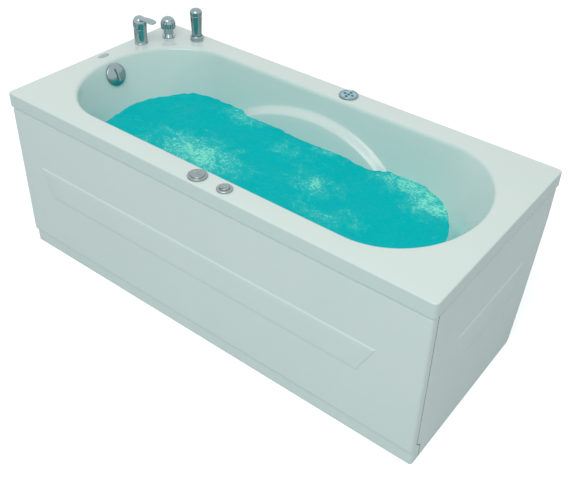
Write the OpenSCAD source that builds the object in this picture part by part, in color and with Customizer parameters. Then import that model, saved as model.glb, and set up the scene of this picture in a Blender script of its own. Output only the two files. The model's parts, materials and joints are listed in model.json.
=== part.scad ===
// Rectangular hydro-massage bathtub: acrylic shell, frame, apron panels, deck taps, waste and jets.
// The origin is on the floor under the middle of the rim. +X runs to the backrest, +Y to the wall.

/* [Tub] */
// Length over the rim
tub_length = 1500; // [1440:10:1600]
// Width over the rim
tub_width = 700; // [690:5:760]
// Height of the rim above the floor
rim_height = 570; // [560:5:600]
// Height of the rim's outer skirt
skirt_height = 46; // [38:1:54]
// Corner radius of the rim in plan
corner_radius = 20; // [14:1:40]
// Radius of the rim's upper outer edge
edge_radius = 8; // [4:1:12]
// Thickness of the acrylic with its reinforcement
sheet = 5; // [4:0.5:7]

/* [Basin] */
// Width of the rim at each end of the basin's mouth
end_rim = 59; // [55:1:100]
// Width of the rim at each side of the basin's mouth
side_rim = 63; // [60:1:75]
// Height of the basin's floor above the room's floor
floor_height = 150; // [140:5:170]
// How far each rounded end of the mouth reaches along the length
end_reach = 242; // [200:2:280]
// How far each rounded end of the floor reaches along the length
floor_reach = 115; // [90:5:140]
// Radius of the lip between deck and wall
lip_radius = 16; // [10:1:20]
// Radius between wall and floor
floor_radius = 45; // [35:1:55]
// Slope of the foot end from upright, in degrees
foot_slope = 20; // [16:1:24]
// Slope of the side walls from upright, in degrees
side_slope = 12; // [10:0.5:14]
// Slope of the backrest from upright, in degrees
back_slope = 35; // [30:1:37]
// How far the armrests stand in from the side walls
armrest_in = 24; // [12:1:30]
// Depth of the armrest's highest point below the rim
armrest_drop = 65; // [55:1:80]
// How far the armrest's edge falls towards both ends
armrest_fall = 76; // [50:1:90]
// Half the length of the armrest
armrest_half = 270; // [240:5:290]
// Height over which the armrest's edge steps in
armrest_ledge = 26; // [18:1:34]
// Share of the armrest that has faded out at the floor
armrest_fade = 0.7; // [0.4:0.05:0.8]

/* [Supports] */
// Thickness of the board under the floor
board_thickness = 16; // [12:1:20]
// Width of the square steel tubes of the rails and crossbars
bar_size = 30; // [25:1:32]
// Wall of the steel tubes
bar_wall = 2; // [1.5:0.5:3]
// Width of the square posts under the rim
post_size = 25; // [20:1:28]
// Distance of each rail from the middle
rail_y = 118; // [105:1:122]
// Distance of each foot from the rim's long edge
foot_in = 120; // [90:5:150]
// Distance of the outer crossbars from the rim's ends
crossbar_in = 60; // [50:5:80]
// Radius of the foot pads
pad_r = 25; // [20:1:30]
// Radius of the threaded studs of the feet
stud_r = 6; // [5:0.5:8]
// Width of the timber battens under the rim
batten_width = 26; // [22:1:28]
// Thickness of the battens
batten_thickness = 18; // [14:1:20]

/* [Panels] */
// Thickness of the panel sheets
panel_sheet = 4; // [3:0.5:5]
// Gap between the skirt and the panels
panel_gap = 3; // [2:0.5:5]
// How far the panel faces stand back from the rim
panel_inset = 4; // [4:0.5:8]
// How far the embossed fields stand out
emboss = 3; // [1.5:0.5:3.5]
// Height of the plinth
toe_height = 46; // [35:1:55]
// How far the plinth stands back from the face
toe_recess = 8; // [7:1:15]
// Radius of the rolled lower edge above the plinth
toe_roll = 6; // [5:0.5:7]
// Depth of the front panel's returns round the corners
corner_return = 24; // [20:1:28]
// How much deeper the returns are at the plinth
toe_return = 20; // [15:1:25]
// Height over which the returns grow deeper above the plinth
return_rise = 20; // [15:1:30]
// Seam between the front panel and the end panel
panel_seam = 1.5; // [0.5:0.5:2]
// Depth of the panels' top flanges
flange_depth = 14; // [12:1:14]

/* [Deck taps] */
// Distance of the mixer from the rim's foot end
mixer_in = 45; // [42:1:50]
// Distance of the mixer from the rim's wall edge
mixer_back = 187; // [180:1:200]
// Distance of the diverter from the rim's foot end
diverter_in = 80; // [70:1:90]
// Distance of the diverter from the rim's wall edge
diverter_back = 90; // [80:1:95]
// Distance of the hand shower from the rim's foot end
shower_in = 172; // [160:1:185]
// Distance of the hand shower from the rim's wall edge
shower_back = 45; // [42:1:50]
// Radius of the threaded shanks through the deck
shank_r = 16.5; // [14:0.5:17]
// Length of the shanks below the deck's top
shank_length = 50; // [46:1:60]
// Radius of the mixer's body
mixer_r = 22; // [21:0.5:24]
// Height of the mixer's lever pivot above the deck
mixer_pivot = 60; // [56:1:64]
// Reach of the mixer's lever
lever_reach = 72; // [60:1:74]
// Radius of the diverter's knob
diverter_knob_r = 25.5; // [23:0.5:28]
// Height of the diverter's knob above the deck
diverter_height = 74; // [68:1:80]
// Height of the hand shower above the deck
handset_height = 115; // [100:1:130]
// Radius of the hand shower at its head
handset_head_r = 20.5; // [19:0.5:23]
// Radius of the hand shower at its foot
handset_foot_r = 16; // [15:0.5:16.5]
// Radius of the hoses under the deck
hose_r = 6; // [5:0.5:6.5]

/* [Waste and overflow] */
// Distance of the waste from the rim's foot end
waste_in = 320; // [310:1:350]
// Radius of the waste's body
waste_r = 25; // [23:0.5:28]
// Depth of the overflow below the rim
overflow_drop = 46; // [44:1:56]
// Radius of the overflow's knob
overflow_knob_r = 38; // [34:1:38]
// Radius of the overflow pipe
overflow_pipe_r = 16; // [14:0.5:16]
// Radius of the waste outlet pipe
outlet_r = 20; // [16:0.5:20]

/* [Controls] */
// Place of the control pad along the length
pad_x = 56; // [40:1:80]
// Radius of the control pad's bezel
bezel_r = 31; // [29:0.5:31.5]
// Radius of the pad's buttons
key_r = 4.5; // [4:0.25:5.5]
// Distance of the outer buttons from the middle one
key_spread = 14; // [12:0.5:15]
// Place of the air control along the length
air_x = 5; // [0:1:15]
// Radius of the air control's knob
air_knob_r = 28; // [25:0.5:28.5]
// Place of the pump button along the length
button_x = 100; // [90:1:110]
// Radius of the pump button's bezel
button_bezel_r = 22.5; // [20:0.5:24]

/* [Jets and pump] */
// Places of the jets along the length
jet_x = [-240, -35, 170];
// Height of the jets above the basin's floor
jet_above = 140; // [130:1:150]
// Radius of the jets' wall flanges
jet_flange_r = 33; // [30:0.5:34]
// Radius of the jets' turning faces
jet_face_r = 26; // [24:0.5:28]
// Place of the suction along the length
suction_x = -137; // [-145:1:-130]
// Height of the suction above the basin's floor
suction_above = 84; // [82:1:86]
// Radius of the suction pipe
suction_r = 25; // [20:0.5:25]
// Radius of the water pipes
water_r = 16; // [12:0.5:16]
// Radius of the air pipes
air_r = 8; // [6:0.5:8]
// Distance of the pump from the rim's backrest end
pump_in = 110; // [105:1:120]
// Radius of the motor
motor_r = 60; // [50:1:62]
// Radius of the pump's shaft
shaft_r = 7; // [5:0.5:8]

/* [Hidden] */
$fn = 48;

// Gap left where two pieces rest on each other
seat = 0.2;
// Radial clearance of a running fit
running = 0.05;
// Radial clearance of a hole round a body that is clamped in it
hole_gap = 0.5;
// Overshoot of a cutting tool
over = 1;

half_l = tub_length / 2;
half_w = tub_width / 2;
foot_end = -half_l;
basin_hl = half_l - end_rim;
basin_hw = half_w - side_rim;
basin_depth = rim_height - floor_height;
jet_drop = basin_depth - jet_above;
suction_drop = basin_depth - suction_above;
foot_y = half_w - foot_in;
crossbar_x = half_l - crossbar_in;
mixer_x = foot_end + mixer_in;
mixer_y = half_w - mixer_back;
diverter_x = foot_end + diverter_in;
diverter_y = half_w - diverter_back;
shower_x = foot_end + shower_in;
shower_y = half_w - shower_back;
waste_x = foot_end + waste_in;
pump_x = half_l - pump_in;
rim_straight = basin_hl - end_reach;
deck_under = rim_height - sheet;
floor_z = floor_height;
board_top = floor_z - sheet - seat;
board_bottom = board_top - board_thickness;
rail_top = board_bottom - seat;
rail_bottom = rail_top - bar_size;
crossbar_top = rail_bottom - seat;
crossbar_bottom = crossbar_top - bar_size;
batten_top = deck_under - seat;
batten_bottom = batten_top - batten_thickness;
deck_y = (half_w - edge_radius + basin_hw) / 2;

// Wall profile of the basin: depth and inset at the lower end of the lip
function lip_depth(slope) = lip_radius * (1 - sin(slope));
function lip_inset(slope) = lip_radius * cos(slope);
// Depth at which the floor's fillet starts
function fillet_depth(slope) = basin_depth - floor_radius * (1 - sin(slope));
// Inset of a straight wall at a depth
function wall_inset(slope, d) = lip_inset(slope) + (d - lip_depth(slope)) * tan(slope);
// Inset of the flat floor's edge
function floor_inset(slope) = wall_inset(slope, fillet_depth(slope)) + floor_radius * cos(slope);

// Depth at which the armrest has reached its full step
armrest_run = 33;
armrest_full = armrest_drop + armrest_fall + armrest_ledge + armrest_run;
armrest_x = -10;
// Length over which the armrest runs out beyond its ends, as a share of its half length
armrest_tail = 0.3;

function smooth(t) = let (c = min(max(t, 0), 1)) c * c * (3 - 2 * c);
// Step of the armrest at a place along the length
function armrest_step(x) = let (u = abs(x - armrest_x) / armrest_half)
    armrest_in * (1 - smooth((u - 1) / armrest_tail));
// Depth of the armrest's upper edge at a place along the length
function armrest_edge(x) = let (u = abs(x - armrest_x) / armrest_half)
    armrest_drop + armrest_fall * min(u * u, 1.3);
// Share of the armrest that is left at a depth
function armrest_share(d) =
    1 - armrest_fade * max(d - armrest_full, 0) / (basin_depth - armrest_full);

// Slope of the side walls below the armrest, in degrees from upright
low_slope = atan(tan(side_slope) - armrest_in * armrest_fade / (basin_depth - armrest_full));
// Distance of the inner side wall from the middle below the armrest's edge
function low_wall_y(d) = basin_hw - wall_inset(side_slope, d) - armrest_in * armrest_share(d);

// Rows of the wall from the lip to the floor: kind and place within the kind
lip_rows = [for (i = [0:3]) [0, i / 3]];
wall_rows = [for (i = [1:9]) [1, i]];
fillet_rows = [for (i = [1:4]) [2, i / 4]];
rows = concat(lip_rows, wall_rows, fillet_rows);
// How far down the ledge the rows lie and how much of the step they have taken
ledge_down = [0, 0.35, 0.7, 1];

// Depth of a wall row where the lip ends at d1, the armrest's edge lies at e and the fillet at d2
function wall_depth(i, d1, e, d2) =
    i == 1 ? (d1 + e) / 2 :
    i <= 5 ? e + armrest_ledge * ledge_down[i - 2] :
    i == 6 ? armrest_full : armrest_full + (d2 - armrest_full) * (i - 6) / 3;
function wall_share(i, d) = i < 3 ? 0 : i < 5 ? smooth(ledge_down[i - 2]) : armrest_share(d);

// Inset and depth of a row on a wall of one slope, moved out by off
function row_point(slope, row, d, off) =
    row[0] == 0 ? let (a = row[1] * (90 - slope))
        [(lip_radius - off) * sin(a), lip_radius - (lip_radius - off) * cos(a)] :
    row[0] == 1 ? [wall_inset(slope, d) - off / cos(slope), d] :
    let (a = (90 - slope) * (1 - row[1]))
        [floor_inset(slope) - (floor_radius + off) * sin(a),
        basin_depth - floor_radius + (floor_radius + off) * cos(a)];

// Columns round the basin: side along the length, side across, angle in the end, share of the straight
end_cols = 9;
side_cols = 6;
function quarter_end(sx, sy) = [for (k = [0:end_cols - 1]) [sx, sy, 90 * k / end_cols, 1]];
function quarter_side(sx, sy) = [for (i = [side_cols:-1:1]) [sx, sy, 90, i / side_cols]];
function side_quarter(sx, sy) = [for (i = [0:side_cols - 1]) [sx, sy, 90, i / side_cols]];
function end_quarter(sx, sy) = [for (k = [end_cols:-1:1]) [sx, sy, 90 * k / end_cols, 1]];
cols = concat(quarter_end(1, 1), quarter_side(1, 1), side_quarter(-1, 1), end_quarter(-1, 1),
    quarter_end(-1, -1), quarter_side(-1, -1), side_quarter(1, -1), end_quarter(1, -1));

// Point of the basin's surface at a column and a row, moved out by off
function basin_point(col, row, off) =
    let (end_slope = col[0] > 0 ? back_slope : foot_slope,
        blend = pow(cos(col[2]), 2),
        x_ref = col[0] * (rim_straight * 0.9 * col[3] + end_reach * cos(col[2])),
        d1 = lip_depth(end_slope) * blend + lip_depth(side_slope) * (1 - blend),
        d2 = fillet_depth(end_slope) * blend + fillet_depth(side_slope) * (1 - blend),
        d = row[0] == 1 ? wall_depth(row[1], d1, armrest_edge(x_ref), d2) : 0,
        e = row_point(end_slope, row, d, off),
        s = row_point(side_slope, row, d, off),
        inner = row_point(end_slope, row, d, 0),
        depth = e[1] * blend + s[1] * (1 - blend),
        reach = end_reach + (floor_reach - end_reach) * inner[0] / floor_inset(end_slope),
        centre = basin_hl - inner[0] - reach,
        x = col[0] * (centre * col[3] + (reach + inner[0] - e[0]) * cos(col[2])),
        share = row[0] == 0 ? 0 : row[0] == 1 ? wall_share(row[1], depth) : armrest_share(depth),
        y = (basin_hw - s[0] - armrest_step(x) * share) * sin(col[2]))
    [x, col[1] * y, rim_height - depth];

// Point of the rim's outer outline at a column, set in by e, at height z
function rim_point(col, e, z) =
    let (x_end = half_l - e, y_end = half_w - e, r = corner_radius - e,
        m = end_cols * (1 - col[2] / 90), third = end_cols / 3,
        c = 90 * (1 - (m - third) / third),
        x = m <= 0 ? rim_straight * col[3] :
            m <= third ? rim_straight + (x_end - r - rim_straight) * m / third :
            m <= 2 * third ? x_end - r + r * cos(c) : x_end,
        y = m <= third ? y_end :
            m <= 2 * third ? y_end - r + r * sin(c) : (y_end - r) * (3 - m / third))
    [col[0] * x, col[1] * y, z];

rim_rings = concat(
    [for (a = [0, 30, 60, 90]) [edge_radius * (1 - sin(a)), rim_height - edge_radius * (1 - cos(a))]],
    [[0, rim_height - skirt_height], [sheet, rim_height - skirt_height], [sheet, deck_under]]);
last_row = len(rows) - 1;
shell_rings = concat(
    [for (i = [last_row:-1:0]) [for (c = cols) basin_point(c, rows[i], 0)]],
    [for (r = rim_rings) [for (c = cols) rim_point(c, r[0], r[1])]],
    [for (i = [0:last_row]) [for (c = cols) basin_point(c, rows[i], sheet)]]);

// Closed skin through a list of rings of equal length
module skin(rings) {
    n = len(rings[0]);
    m = len(rings);
    points = [for (r = rings) for (p = r) p];
    sides = [for (i = [0:m - 2]) for (j = [0:n - 1]) let (k = (j + 1) % n)
        for (t = [[i * n + j, (i + 1) * n + j, (i + 1) * n + k], [i * n + j, (i + 1) * n + k, i * n + k]]) t];
    first = [for (j = [1:n - 2]) [0, j, j + 1]];
    last = [for (j = [1:n - 2]) [(m - 1) * n, (m - 1) * n + j + 1, (m - 1) * n + j]];
    polyhedron(points, concat(first, sides, last));
}

// Tube swept along a smooth path
function between(a, b, c, d, t) = 0.5 * (2 * b + (c - a) * t + (2 * a - 5 * b + 4 * c - d) * t * t
    + (3 * b - a - 3 * c + d) * t * t * t);
function path(p, n) = concat([for (i = [0:len(p) - 2]) for (j = [0:n - 1])
    between(p[max(i - 1, 0)], p[i], p[i + 1], p[min(i + 2, len(p) - 1)], j / n)], [p[len(p) - 1]]);
function unit(v) = v / norm(v);
function tangents(q) = [for (i = [0:len(q) - 1])
    unit(q[min(i + 1, len(q) - 1)] - q[max(i - 1, 0)])];
function square_to(v, t) = unit(v - (v * t) * t);
function normals(t) = [for (i = 0, v = square_to(abs(t[0].z) < 0.9 ? [0, 0, 1] : [1, 0, 0], t[0]);
    i < len(t); i = i + 1, v = i < len(t) ? square_to(v, t[i]) : v) v];
module tube(p, r, sides, steps) {
    q = path(p, steps);
    t = tangents(q);
    v = normals(t);
    skin([for (i = [0:len(q) - 1]) [for (k = [0:sides - 1]) let (a = 360 * k / sides)
        q[i] + r * (cos(a) * v[i] + sin(a) * cross(t[i], v[i]))]]);
}

// Solid and hollow round bars between two heights or along an axis
module rod(r, z0, z1) {
    translate([0, 0, z0]) cylinder(r = r, h = z1 - z0);
}
module ring(r_out, r_in, z0, z1) {
    difference() {
        rod(r_out, z0, z1);
        rod(r_in, z0 - over, z1 + over);
    }
}
module along_x(x0, x1) {
    translate([x0, 0, 0]) rotate([0, 90, 0]) children();
}
module block(low, high) {
    translate(low) cube(high - low);
}
module both_sides() {
    children();
    mirror([0, 1, 0]) children();
}

// Local frames. On a side wall, +Z points out of the basin and -Y points up
module on_side(x, d, side) {
    mirror([0, side < 0 ? 1 : 0, 0]) translate([x, low_wall_y(d), rim_height - d])
        rotate([-90 - low_slope, 0, 0]) children();
}
overflow_x = wall_inset(foot_slope, overflow_drop) - basin_hl;
overflow_z = rim_height - overflow_drop;
// At the overflow, +Z points into the basin
module on_overflow() {
    translate([overflow_x, 0, overflow_z]) rotate([0, 90 - foot_slope, 0]) children();
}
module on_deck(x, y) {
    translate([x, y, rim_height]) children();
}

// Tub shell
jet_sleeve_r = 22;
suction_sleeve_r = 26;
overflow_neck_r = 22;
pad_cup_r = 24;
air_shank_r = 16;
button_shank_r = 15;
module deck_hole(x, y, r) {
    on_deck(x, y) rod(r + hole_gap, -sheet - over, over);
}
module tub_shell() {
    color("#e6ece8") difference() {
        skin(shell_rings);
        deck_hole(mixer_x, mixer_y, shank_r);
        deck_hole(diverter_x, diverter_y, shank_r);
        deck_hole(shower_x, shower_y, shank_r);
        deck_hole(pad_x, deck_y, pad_cup_r);
        deck_hole(air_x, -deck_y, air_shank_r);
        deck_hole(button_x, -deck_y, button_shank_r);
        translate([waste_x, 0, 0]) rod(waste_r + hole_gap, floor_z - 2 * sheet, floor_z + sheet);
        on_overflow() rod(overflow_neck_r + hole_gap, -2 * sheet, 2 * sheet);
        for (side = [-1, 1], x = jet_x)
            on_side(x, jet_drop, side) rod(jet_sleeve_r + hole_gap, -sheet, 2 * sheet);
        on_side(suction_x, suction_drop, -1) rod(suction_sleeve_r + hole_gap, -sheet, 2 * sheet);
    }
}

// Chipboard under the floor and battens under the rim
board_left = floor_inset(foot_slope) - basin_hl + 20;
board_right = basin_hl - floor_inset(back_slope) - 20;
board_half = rail_y + bar_size / 2 + 2;
batten_y = half_w - sheet - 4 - batten_width / 2;
batten_end = half_l - sheet - 15;
end_batten_x = half_l - sheet - 4 - batten_width / 2;
fitting_room = 42;
screw_r = 2;
screw_length = 16;
screw_in = 6;
hook_x = [-600, -200, 250, 600];
hook_y = [-200, 200];
module batten(x0, x1, side) {
    block([x0, side * batten_y - batten_width / 2, batten_bottom],
        [x1, side * batten_y + batten_width / 2, batten_top]);
}
module hook_places() {
    for (x = hook_x) translate([x, -batten_y, batten_bottom]) children();
    for (y = hook_y) translate([end_batten_x, y, batten_bottom]) rotate([0, 0, 90]) children();
}
module support_boards() {
    color("#b08a5a") difference() {
        union() {
            block([board_left, -board_half, board_bottom], [board_right, board_half, board_top]);
            batten(-batten_end, air_x - fitting_room, -1);
            batten(button_x + fitting_room, batten_end, -1);
            batten(-batten_end, shower_x - fitting_room, 1);
            batten(shower_x + fitting_room, pad_x - fitting_room, 1);
            batten(pad_x + fitting_room, batten_end, 1);
            block([end_batten_x - batten_width / 2, -half_w + 50, batten_bottom],
                [end_batten_x + batten_width / 2, half_w - 50, batten_top]);
        }
        translate([waste_x, 0, 0]) rod(waste_r + 5, board_bottom - over, board_top + over);
        hook_places() translate([0, screw_in, 0]) rod(screw_r + running, -over, screw_length);
    }
}

// Welded frame
rail_end = crossbar_x + bar_size / 2;
module square_tube(length, size, wall) {
    difference() {
        translate([-length / 2, -size / 2, -size / 2]) cube([length, size, size]);
        translate([-length / 2 - over, -size / 2 + wall, -size / 2 + wall])
            cube([length + 2 * over, size - 2 * wall, size - 2 * wall]);
    }
}
shelf_top = rail_top + 3;
shelf_x0 = pump_x - 75;
shelf_x1 = pump_x + 65;
module frame_rails() {
    color("#8f979c") {
        both_sides() translate([0, rail_y, rail_top - bar_size / 2])
            square_tube(2 * rail_end, bar_size, bar_wall);
        block([shelf_x0, -rail_y - bar_size / 2, rail_top], [shelf_x1, rail_y + bar_size / 2, shelf_top]);
    }
}
crossbars = [-crossbar_x, 0, crossbar_x];
post_y = half_w - panel_inset - flange_depth - 1 - post_size / 2;
crossbar_half = post_y + post_size / 2;
module foot_places() {
    for (x = crossbars, y = [-foot_y, foot_y]) translate([x, y, 0]) children();
}
module frame_crossbars() {
    color("#8f979c") difference() {
        for (x = crossbars) translate([x, 0, crossbar_top - bar_size / 2]) rotate([0, 0, 90])
            square_tube(2 * crossbar_half, bar_size, bar_wall);
        foot_places() rod(stud_r + hole_gap, crossbar_bottom - over, crossbar_bottom + bar_wall + over);
    }
}
post_x = crossbar_x;
module frame_posts() {
    color("#8f979c") for (x = [-post_x, post_x], y = [-post_y, post_y])
        translate([x, y, (batten_bottom + crossbar_top) / 2]) rotate([0, 90, 0])
            square_tube(batten_bottom - crossbar_top - 2 * seat, post_size, bar_wall);
}

// Levelling feet
stud_top = crossbar_top - bar_wall - 4;
foot_nut_r = 1.8 * stud_r;
foot_nut_height = 1.6 * stud_r;
module hex_nut(r, bore, z0, z1) {
    difference() {
        translate([0, 0, z0]) cylinder(r = r, h = z1 - z0, $fn = 6);
        rod(bore, z0 - over, z1 + over);
    }
}
module foot_studs() {
    color("#a9aeb2") foot_places() rod(stud_r, 8, stud_top);
}
module foot_nuts() {
    color("#a9aeb2") foot_places() {
        hex_nut(foot_nut_r, stud_r + 0.1, crossbar_bottom - seat - foot_nut_height, crossbar_bottom - seat);
        hex_nut(foot_nut_r, stud_r + 0.1, crossbar_bottom + bar_wall + seat,
            crossbar_bottom + bar_wall + seat + foot_nut_height);
    }
}
module foot_pads() {
    color("#2b2d2f") foot_places() difference() {
        union() {
            rod(pad_r, 0, 4);
            translate([0, 0, 4]) cylinder(r1 = pad_r, r2 = stud_r + 5, h = 4);
            rod(stud_r + 5, 7, 16);
        }
        rod(stud_r + 0.1, 8 - seat, 17);
    }
}

// Panels. The profile runs down the face, round the rolled edge and down the plinth
panel_top = rim_height - skirt_height - panel_gap;
front_y = -half_w + panel_inset;
end_x = half_l - panel_inset;
roll_steps = 6;
function face_line(t) = concat([[t, panel_top]],
    [for (i = [0:roll_steps]) let (a = 90 * i / roll_steps)
        [toe_roll - (toe_roll - t) * cos(a), toe_height + toe_roll - (toe_roll - t) * sin(a)]],
    [[toe_recess + t, toe_height + t], [toe_recess + t, 0]]);
function reversed(v) = [for (i = [len(v) - 1:-1:0]) v[i]];
// Inner edge of the returns, and with a gap the edge of the end panel beside it
function return_line(gap) = [[corner_return + gap, panel_top],
    [corner_return + gap, toe_height + return_rise],
    [corner_return + toe_return + gap, toe_height], [corner_return + toe_return + gap, 0]];
// Embossed field with bevelled edges: corners as places along the face and heights
module field(corners, bevel) {
    centre = [(corners[0].x + corners[1].x) / 2, (corners[0].y + corners[2].y) / 2];
    hull() {
        linear_extrude(0.5) polygon(corners);
        translate([0, 0, emboss - 0.5]) linear_extrude(0.5) polygon([for (c = corners)
            [c.x - bevel * sign(c.x - centre.x), c.y - bevel * sign(c.y - centre.y)]]);
    }
}
field_top = 340;
field_bottom = 238;
// Distances of each field's four corners from the rim's edges
front_in = [102, 138, 188, 142];
end_in = [164, 149, 190, 205];
function field_corners(half, m) = [[m[0] - half, field_top], [half - m[1], field_top],
    [half - m[2], field_bottom], [m[3] - half, field_bottom]];
front_field = field_corners(half_l, front_in);
end_field = field_corners(half_w, end_in);
module profile_slice(x0, x1, inner_line) {
    translate([x0, front_y, 0]) rotate([90, 0, 90]) linear_extrude(x1 - x0)
        polygon(concat(face_line(0), reversed(inner_line)));
}
module front_panel() {
    color("#cfd9d6") {
        profile_slice(-end_x, end_x, face_line(panel_sheet));
        profile_slice(-end_x, -end_x + panel_sheet, return_line(0));
        profile_slice(end_x - panel_sheet, end_x, return_line(0));
        block([-end_x, front_y, panel_top - panel_sheet],
            [end_x - panel_sheet - 0.5, front_y + flange_depth, panel_top]);
        translate([0, front_y + 0.4, 0]) rotate([90, 0, 0]) field(front_field, 4);
    }
}
end_back_top = half_w - 11;
end_back_mid = half_w - 20;
end_back_low = half_w - 112;
end_mid_z = 411;
module end_panel() {
    front_edge = [for (p = return_line(panel_seam)) [front_y + p.x, p.y]];
    outline = concat(front_edge, [[end_back_low - 15, 0], [end_back_low - 4, 4], [end_back_low, 15],
        [half_w - 75, 154], [end_back_mid, end_mid_z], [end_back_top, panel_top]]);
    color("#c5d0cf") {
        translate([end_x - panel_sheet, 0, 0]) rotate([90, 0, 90]) linear_extrude(panel_sheet)
            polygon(outline);
        block([end_x - flange_depth, -half_w + 40, panel_top - panel_sheet],
            [end_x, end_back_top, panel_top]);
        translate([end_x - 0.4, 0, 0]) rotate([90, 0, 90]) field(end_field, 4);
    }
}

// Hooks that carry the panels' top flanges
hook_sheet = 2;
hook_width = 30;
lip_top = panel_top - panel_sheet - seat;
module panel_brackets() {
    back = panel_inset - sheet - 4 - batten_width / 2 + flange_depth + 1;
    color("#9aa1a6") hook_places() difference() {
        union() {
            block([-hook_width / 2, back, -seat - hook_sheet], [hook_width / 2, batten_width / 2, -seat]);
            block([-hook_width / 2, back, lip_top - batten_bottom - hook_sheet],
                [hook_width / 2, back + hook_sheet, -seat]);
            block([-hook_width / 2, back - flange_depth + 4, lip_top - batten_bottom - hook_sheet],
                [hook_width / 2, back + hook_sheet, lip_top - batten_bottom]);
        }
        translate([0, screw_in, 0]) rod(screw_r + 0.2, -seat - hook_sheet - over, over);
    }
}
module panel_screws() {
    color("#b5babd") hook_places() translate([0, screw_in, 0]) {
        rod(screw_r, -seat - hook_sheet - seat, screw_length - 1);
        translate([0, 0, -2 * seat - hook_sheet - 2.4]) cylinder(r1 = 3, r2 = 4, h = 2.4);
    }
}

// Waste with its pop-up plug
inlet_z = rail_bottom + 10;
waste_bottom = inlet_z - overflow_pipe_r - 6;
waste_wall = 4;
flange_r = waste_r + 10;
stem_r = 4;
guide_z = floor_z - 12;
cable_r = 2.5;
cable_boss_r = 6;
module waste_body() {
    color("#d9dde0") translate([waste_x, 0, 0]) difference() {
        union() {
            rod(flange_r, floor_z + seat, floor_z + seat + 2.5);
            rod(waste_r, waste_bottom, floor_z + seat + 1);
            translate([0, 0, inlet_z]) along_x(-waste_r - 25, 0)
                rod(overflow_pipe_r + 3, 0, 25 + waste_r / 2);
            translate([0, 0, inlet_z]) rotate([90, 0, 0]) rod(cable_boss_r, waste_r - 2, waste_r + 10);
        }
        difference() {
            rod(waste_r - waste_wall, waste_bottom - over, floor_z + 5);
            difference() {
                block([-waste_r, -8, guide_z - 5], [waste_r, 8, guide_z]);
                rod(stem_r + running, guide_z - 6, guide_z + over);
            }
        }
        translate([0, 0, inlet_z]) along_x(-waste_r - 26, 0) rod(overflow_pipe_r + 0.1, 0, 26);
        translate([0, 0, inlet_z]) along_x(-waste_r - 1, 0) rod(overflow_pipe_r - pipe_wall, 0, waste_r);
        translate([0, 0, inlet_z]) rotate([90, 0, 0]) rod(cable_r + 0.2, waste_r - 1, waste_r + 11);
    }
}
plug_z = floor_z + seat + 2.5 + seat;
module waste_plug() {
    color("#dfe3e6") translate([waste_x, 0, 0]) {
        rod(flange_r - 4, plug_z, plug_z + 3);
        translate([0, 0, plug_z + 3]) cylinder(r1 = flange_r - 4, r2 = flange_r - 8, h = 2);
        rod(waste_r - waste_wall - 1, plug_z - 6, plug_z + 1);
        rod(stem_r, guide_z - 24, plug_z);
    }
}
trap_top = waste_bottom - seat;
trap_bottom = 16;
trap_r = 44;
outlet_z = (trap_top + trap_bottom) / 2 + 4;
outlet_end = half_w - 20;
module waste_trap() {
    color("#e9ecec") translate([waste_x, 0, 0]) difference() {
        union() {
            rod(trap_r, trap_bottom, trap_top);
            translate([0, 0, outlet_z]) rotate([-90, 0, 0]) rod(outlet_r, 0, outlet_end);
            translate([0, 0, outlet_z]) rotate([-90, 0, 0]) rod(outlet_r + 5, trap_r - 6, trap_r + 24);
        }
        rod(trap_r - 3, trap_bottom + 3, trap_top - 4);
        rod(waste_r - waste_wall, trap_top - 5, trap_top + over);
        translate([0, 0, outlet_z]) rotate([-90, 0, 0]) rod(outlet_r - 2, trap_r - 8, outlet_end + over);
    }
}

// Overflow with its knob and its filler inlet
body_back = -48;
elbow_x = overflow_x - 26 * cos(foot_slope);
elbow_z = overflow_z - 26 * sin(foot_slope);
spigot_bottom = elbow_z - 48;
overflow_spindle_r = 6;
filler_y = 40;
cable_z = elbow_z - 18;
module overflow_body() {
    color("#e9ecec") difference() {
        union() {
            on_overflow() {
                rod(overflow_neck_r + 10, -sheet - seat - 5, -sheet - seat);
                rod(overflow_neck_r, body_back, 1);
            }
            translate([elbow_x, 0, 0]) rod(overflow_pipe_r + 3, spigot_bottom, elbow_z);
            translate([elbow_x, 0, elbow_z]) rotate([-90, 0, 0]) rod(9, 0, filler_y);
            translate([elbow_x, 0, cable_z]) rotate([90, 0, 0]) rod(cable_boss_r, 12, 28);
        }
        on_overflow() difference() {
            rod(overflow_neck_r - 3, body_back + 4, 2);
            difference() {
                block([-overflow_neck_r, -10, -16], [overflow_neck_r, 10, -8]);
                rod(overflow_spindle_r + running, -17, -7);
            }
        }
        translate([elbow_x, 0, 0]) rod(overflow_pipe_r + 0.1, spigot_bottom - over, spigot_bottom + 25);
        translate([elbow_x, 0, 0]) rod(overflow_pipe_r - 2, spigot_bottom, elbow_z);
        translate([elbow_x, 0, elbow_z]) rotate([-90, 0, 0]) rod(4.3, 0, filler_y + over);
        translate([elbow_x, 0, cable_z]) rotate([90, 0, 0]) rod(cable_r + 0.2, 0, 29);
    }
}
knob_back = 3.5;
module overflow_knob() {
    color("#cfd6d8") on_overflow() {
        rod(overflow_knob_r, knob_back, knob_back + 6);
        translate([0, 0, knob_back + 6]) cylinder(r1 = overflow_knob_r, r2 = overflow_knob_r - 4, h = 3);
        hull() for (x = [-20, 20]) translate([x, 0, knob_back + 8]) cylinder(r1 = 7, r2 = 4.5, h = 11);
        rod(overflow_spindle_r, -30, knob_back + 1);
    }
}
bend = 60;
pipe_wall = 2;
module elbow(r, wall, radius) {
    rotate_extrude(angle = 90) translate([radius, 0]) difference() {
        circle(r);
        circle(r - wall);
    }
}
module straight_pipe(r, wall, length) {
    ring(r, r - wall, 0, length);
}
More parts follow.
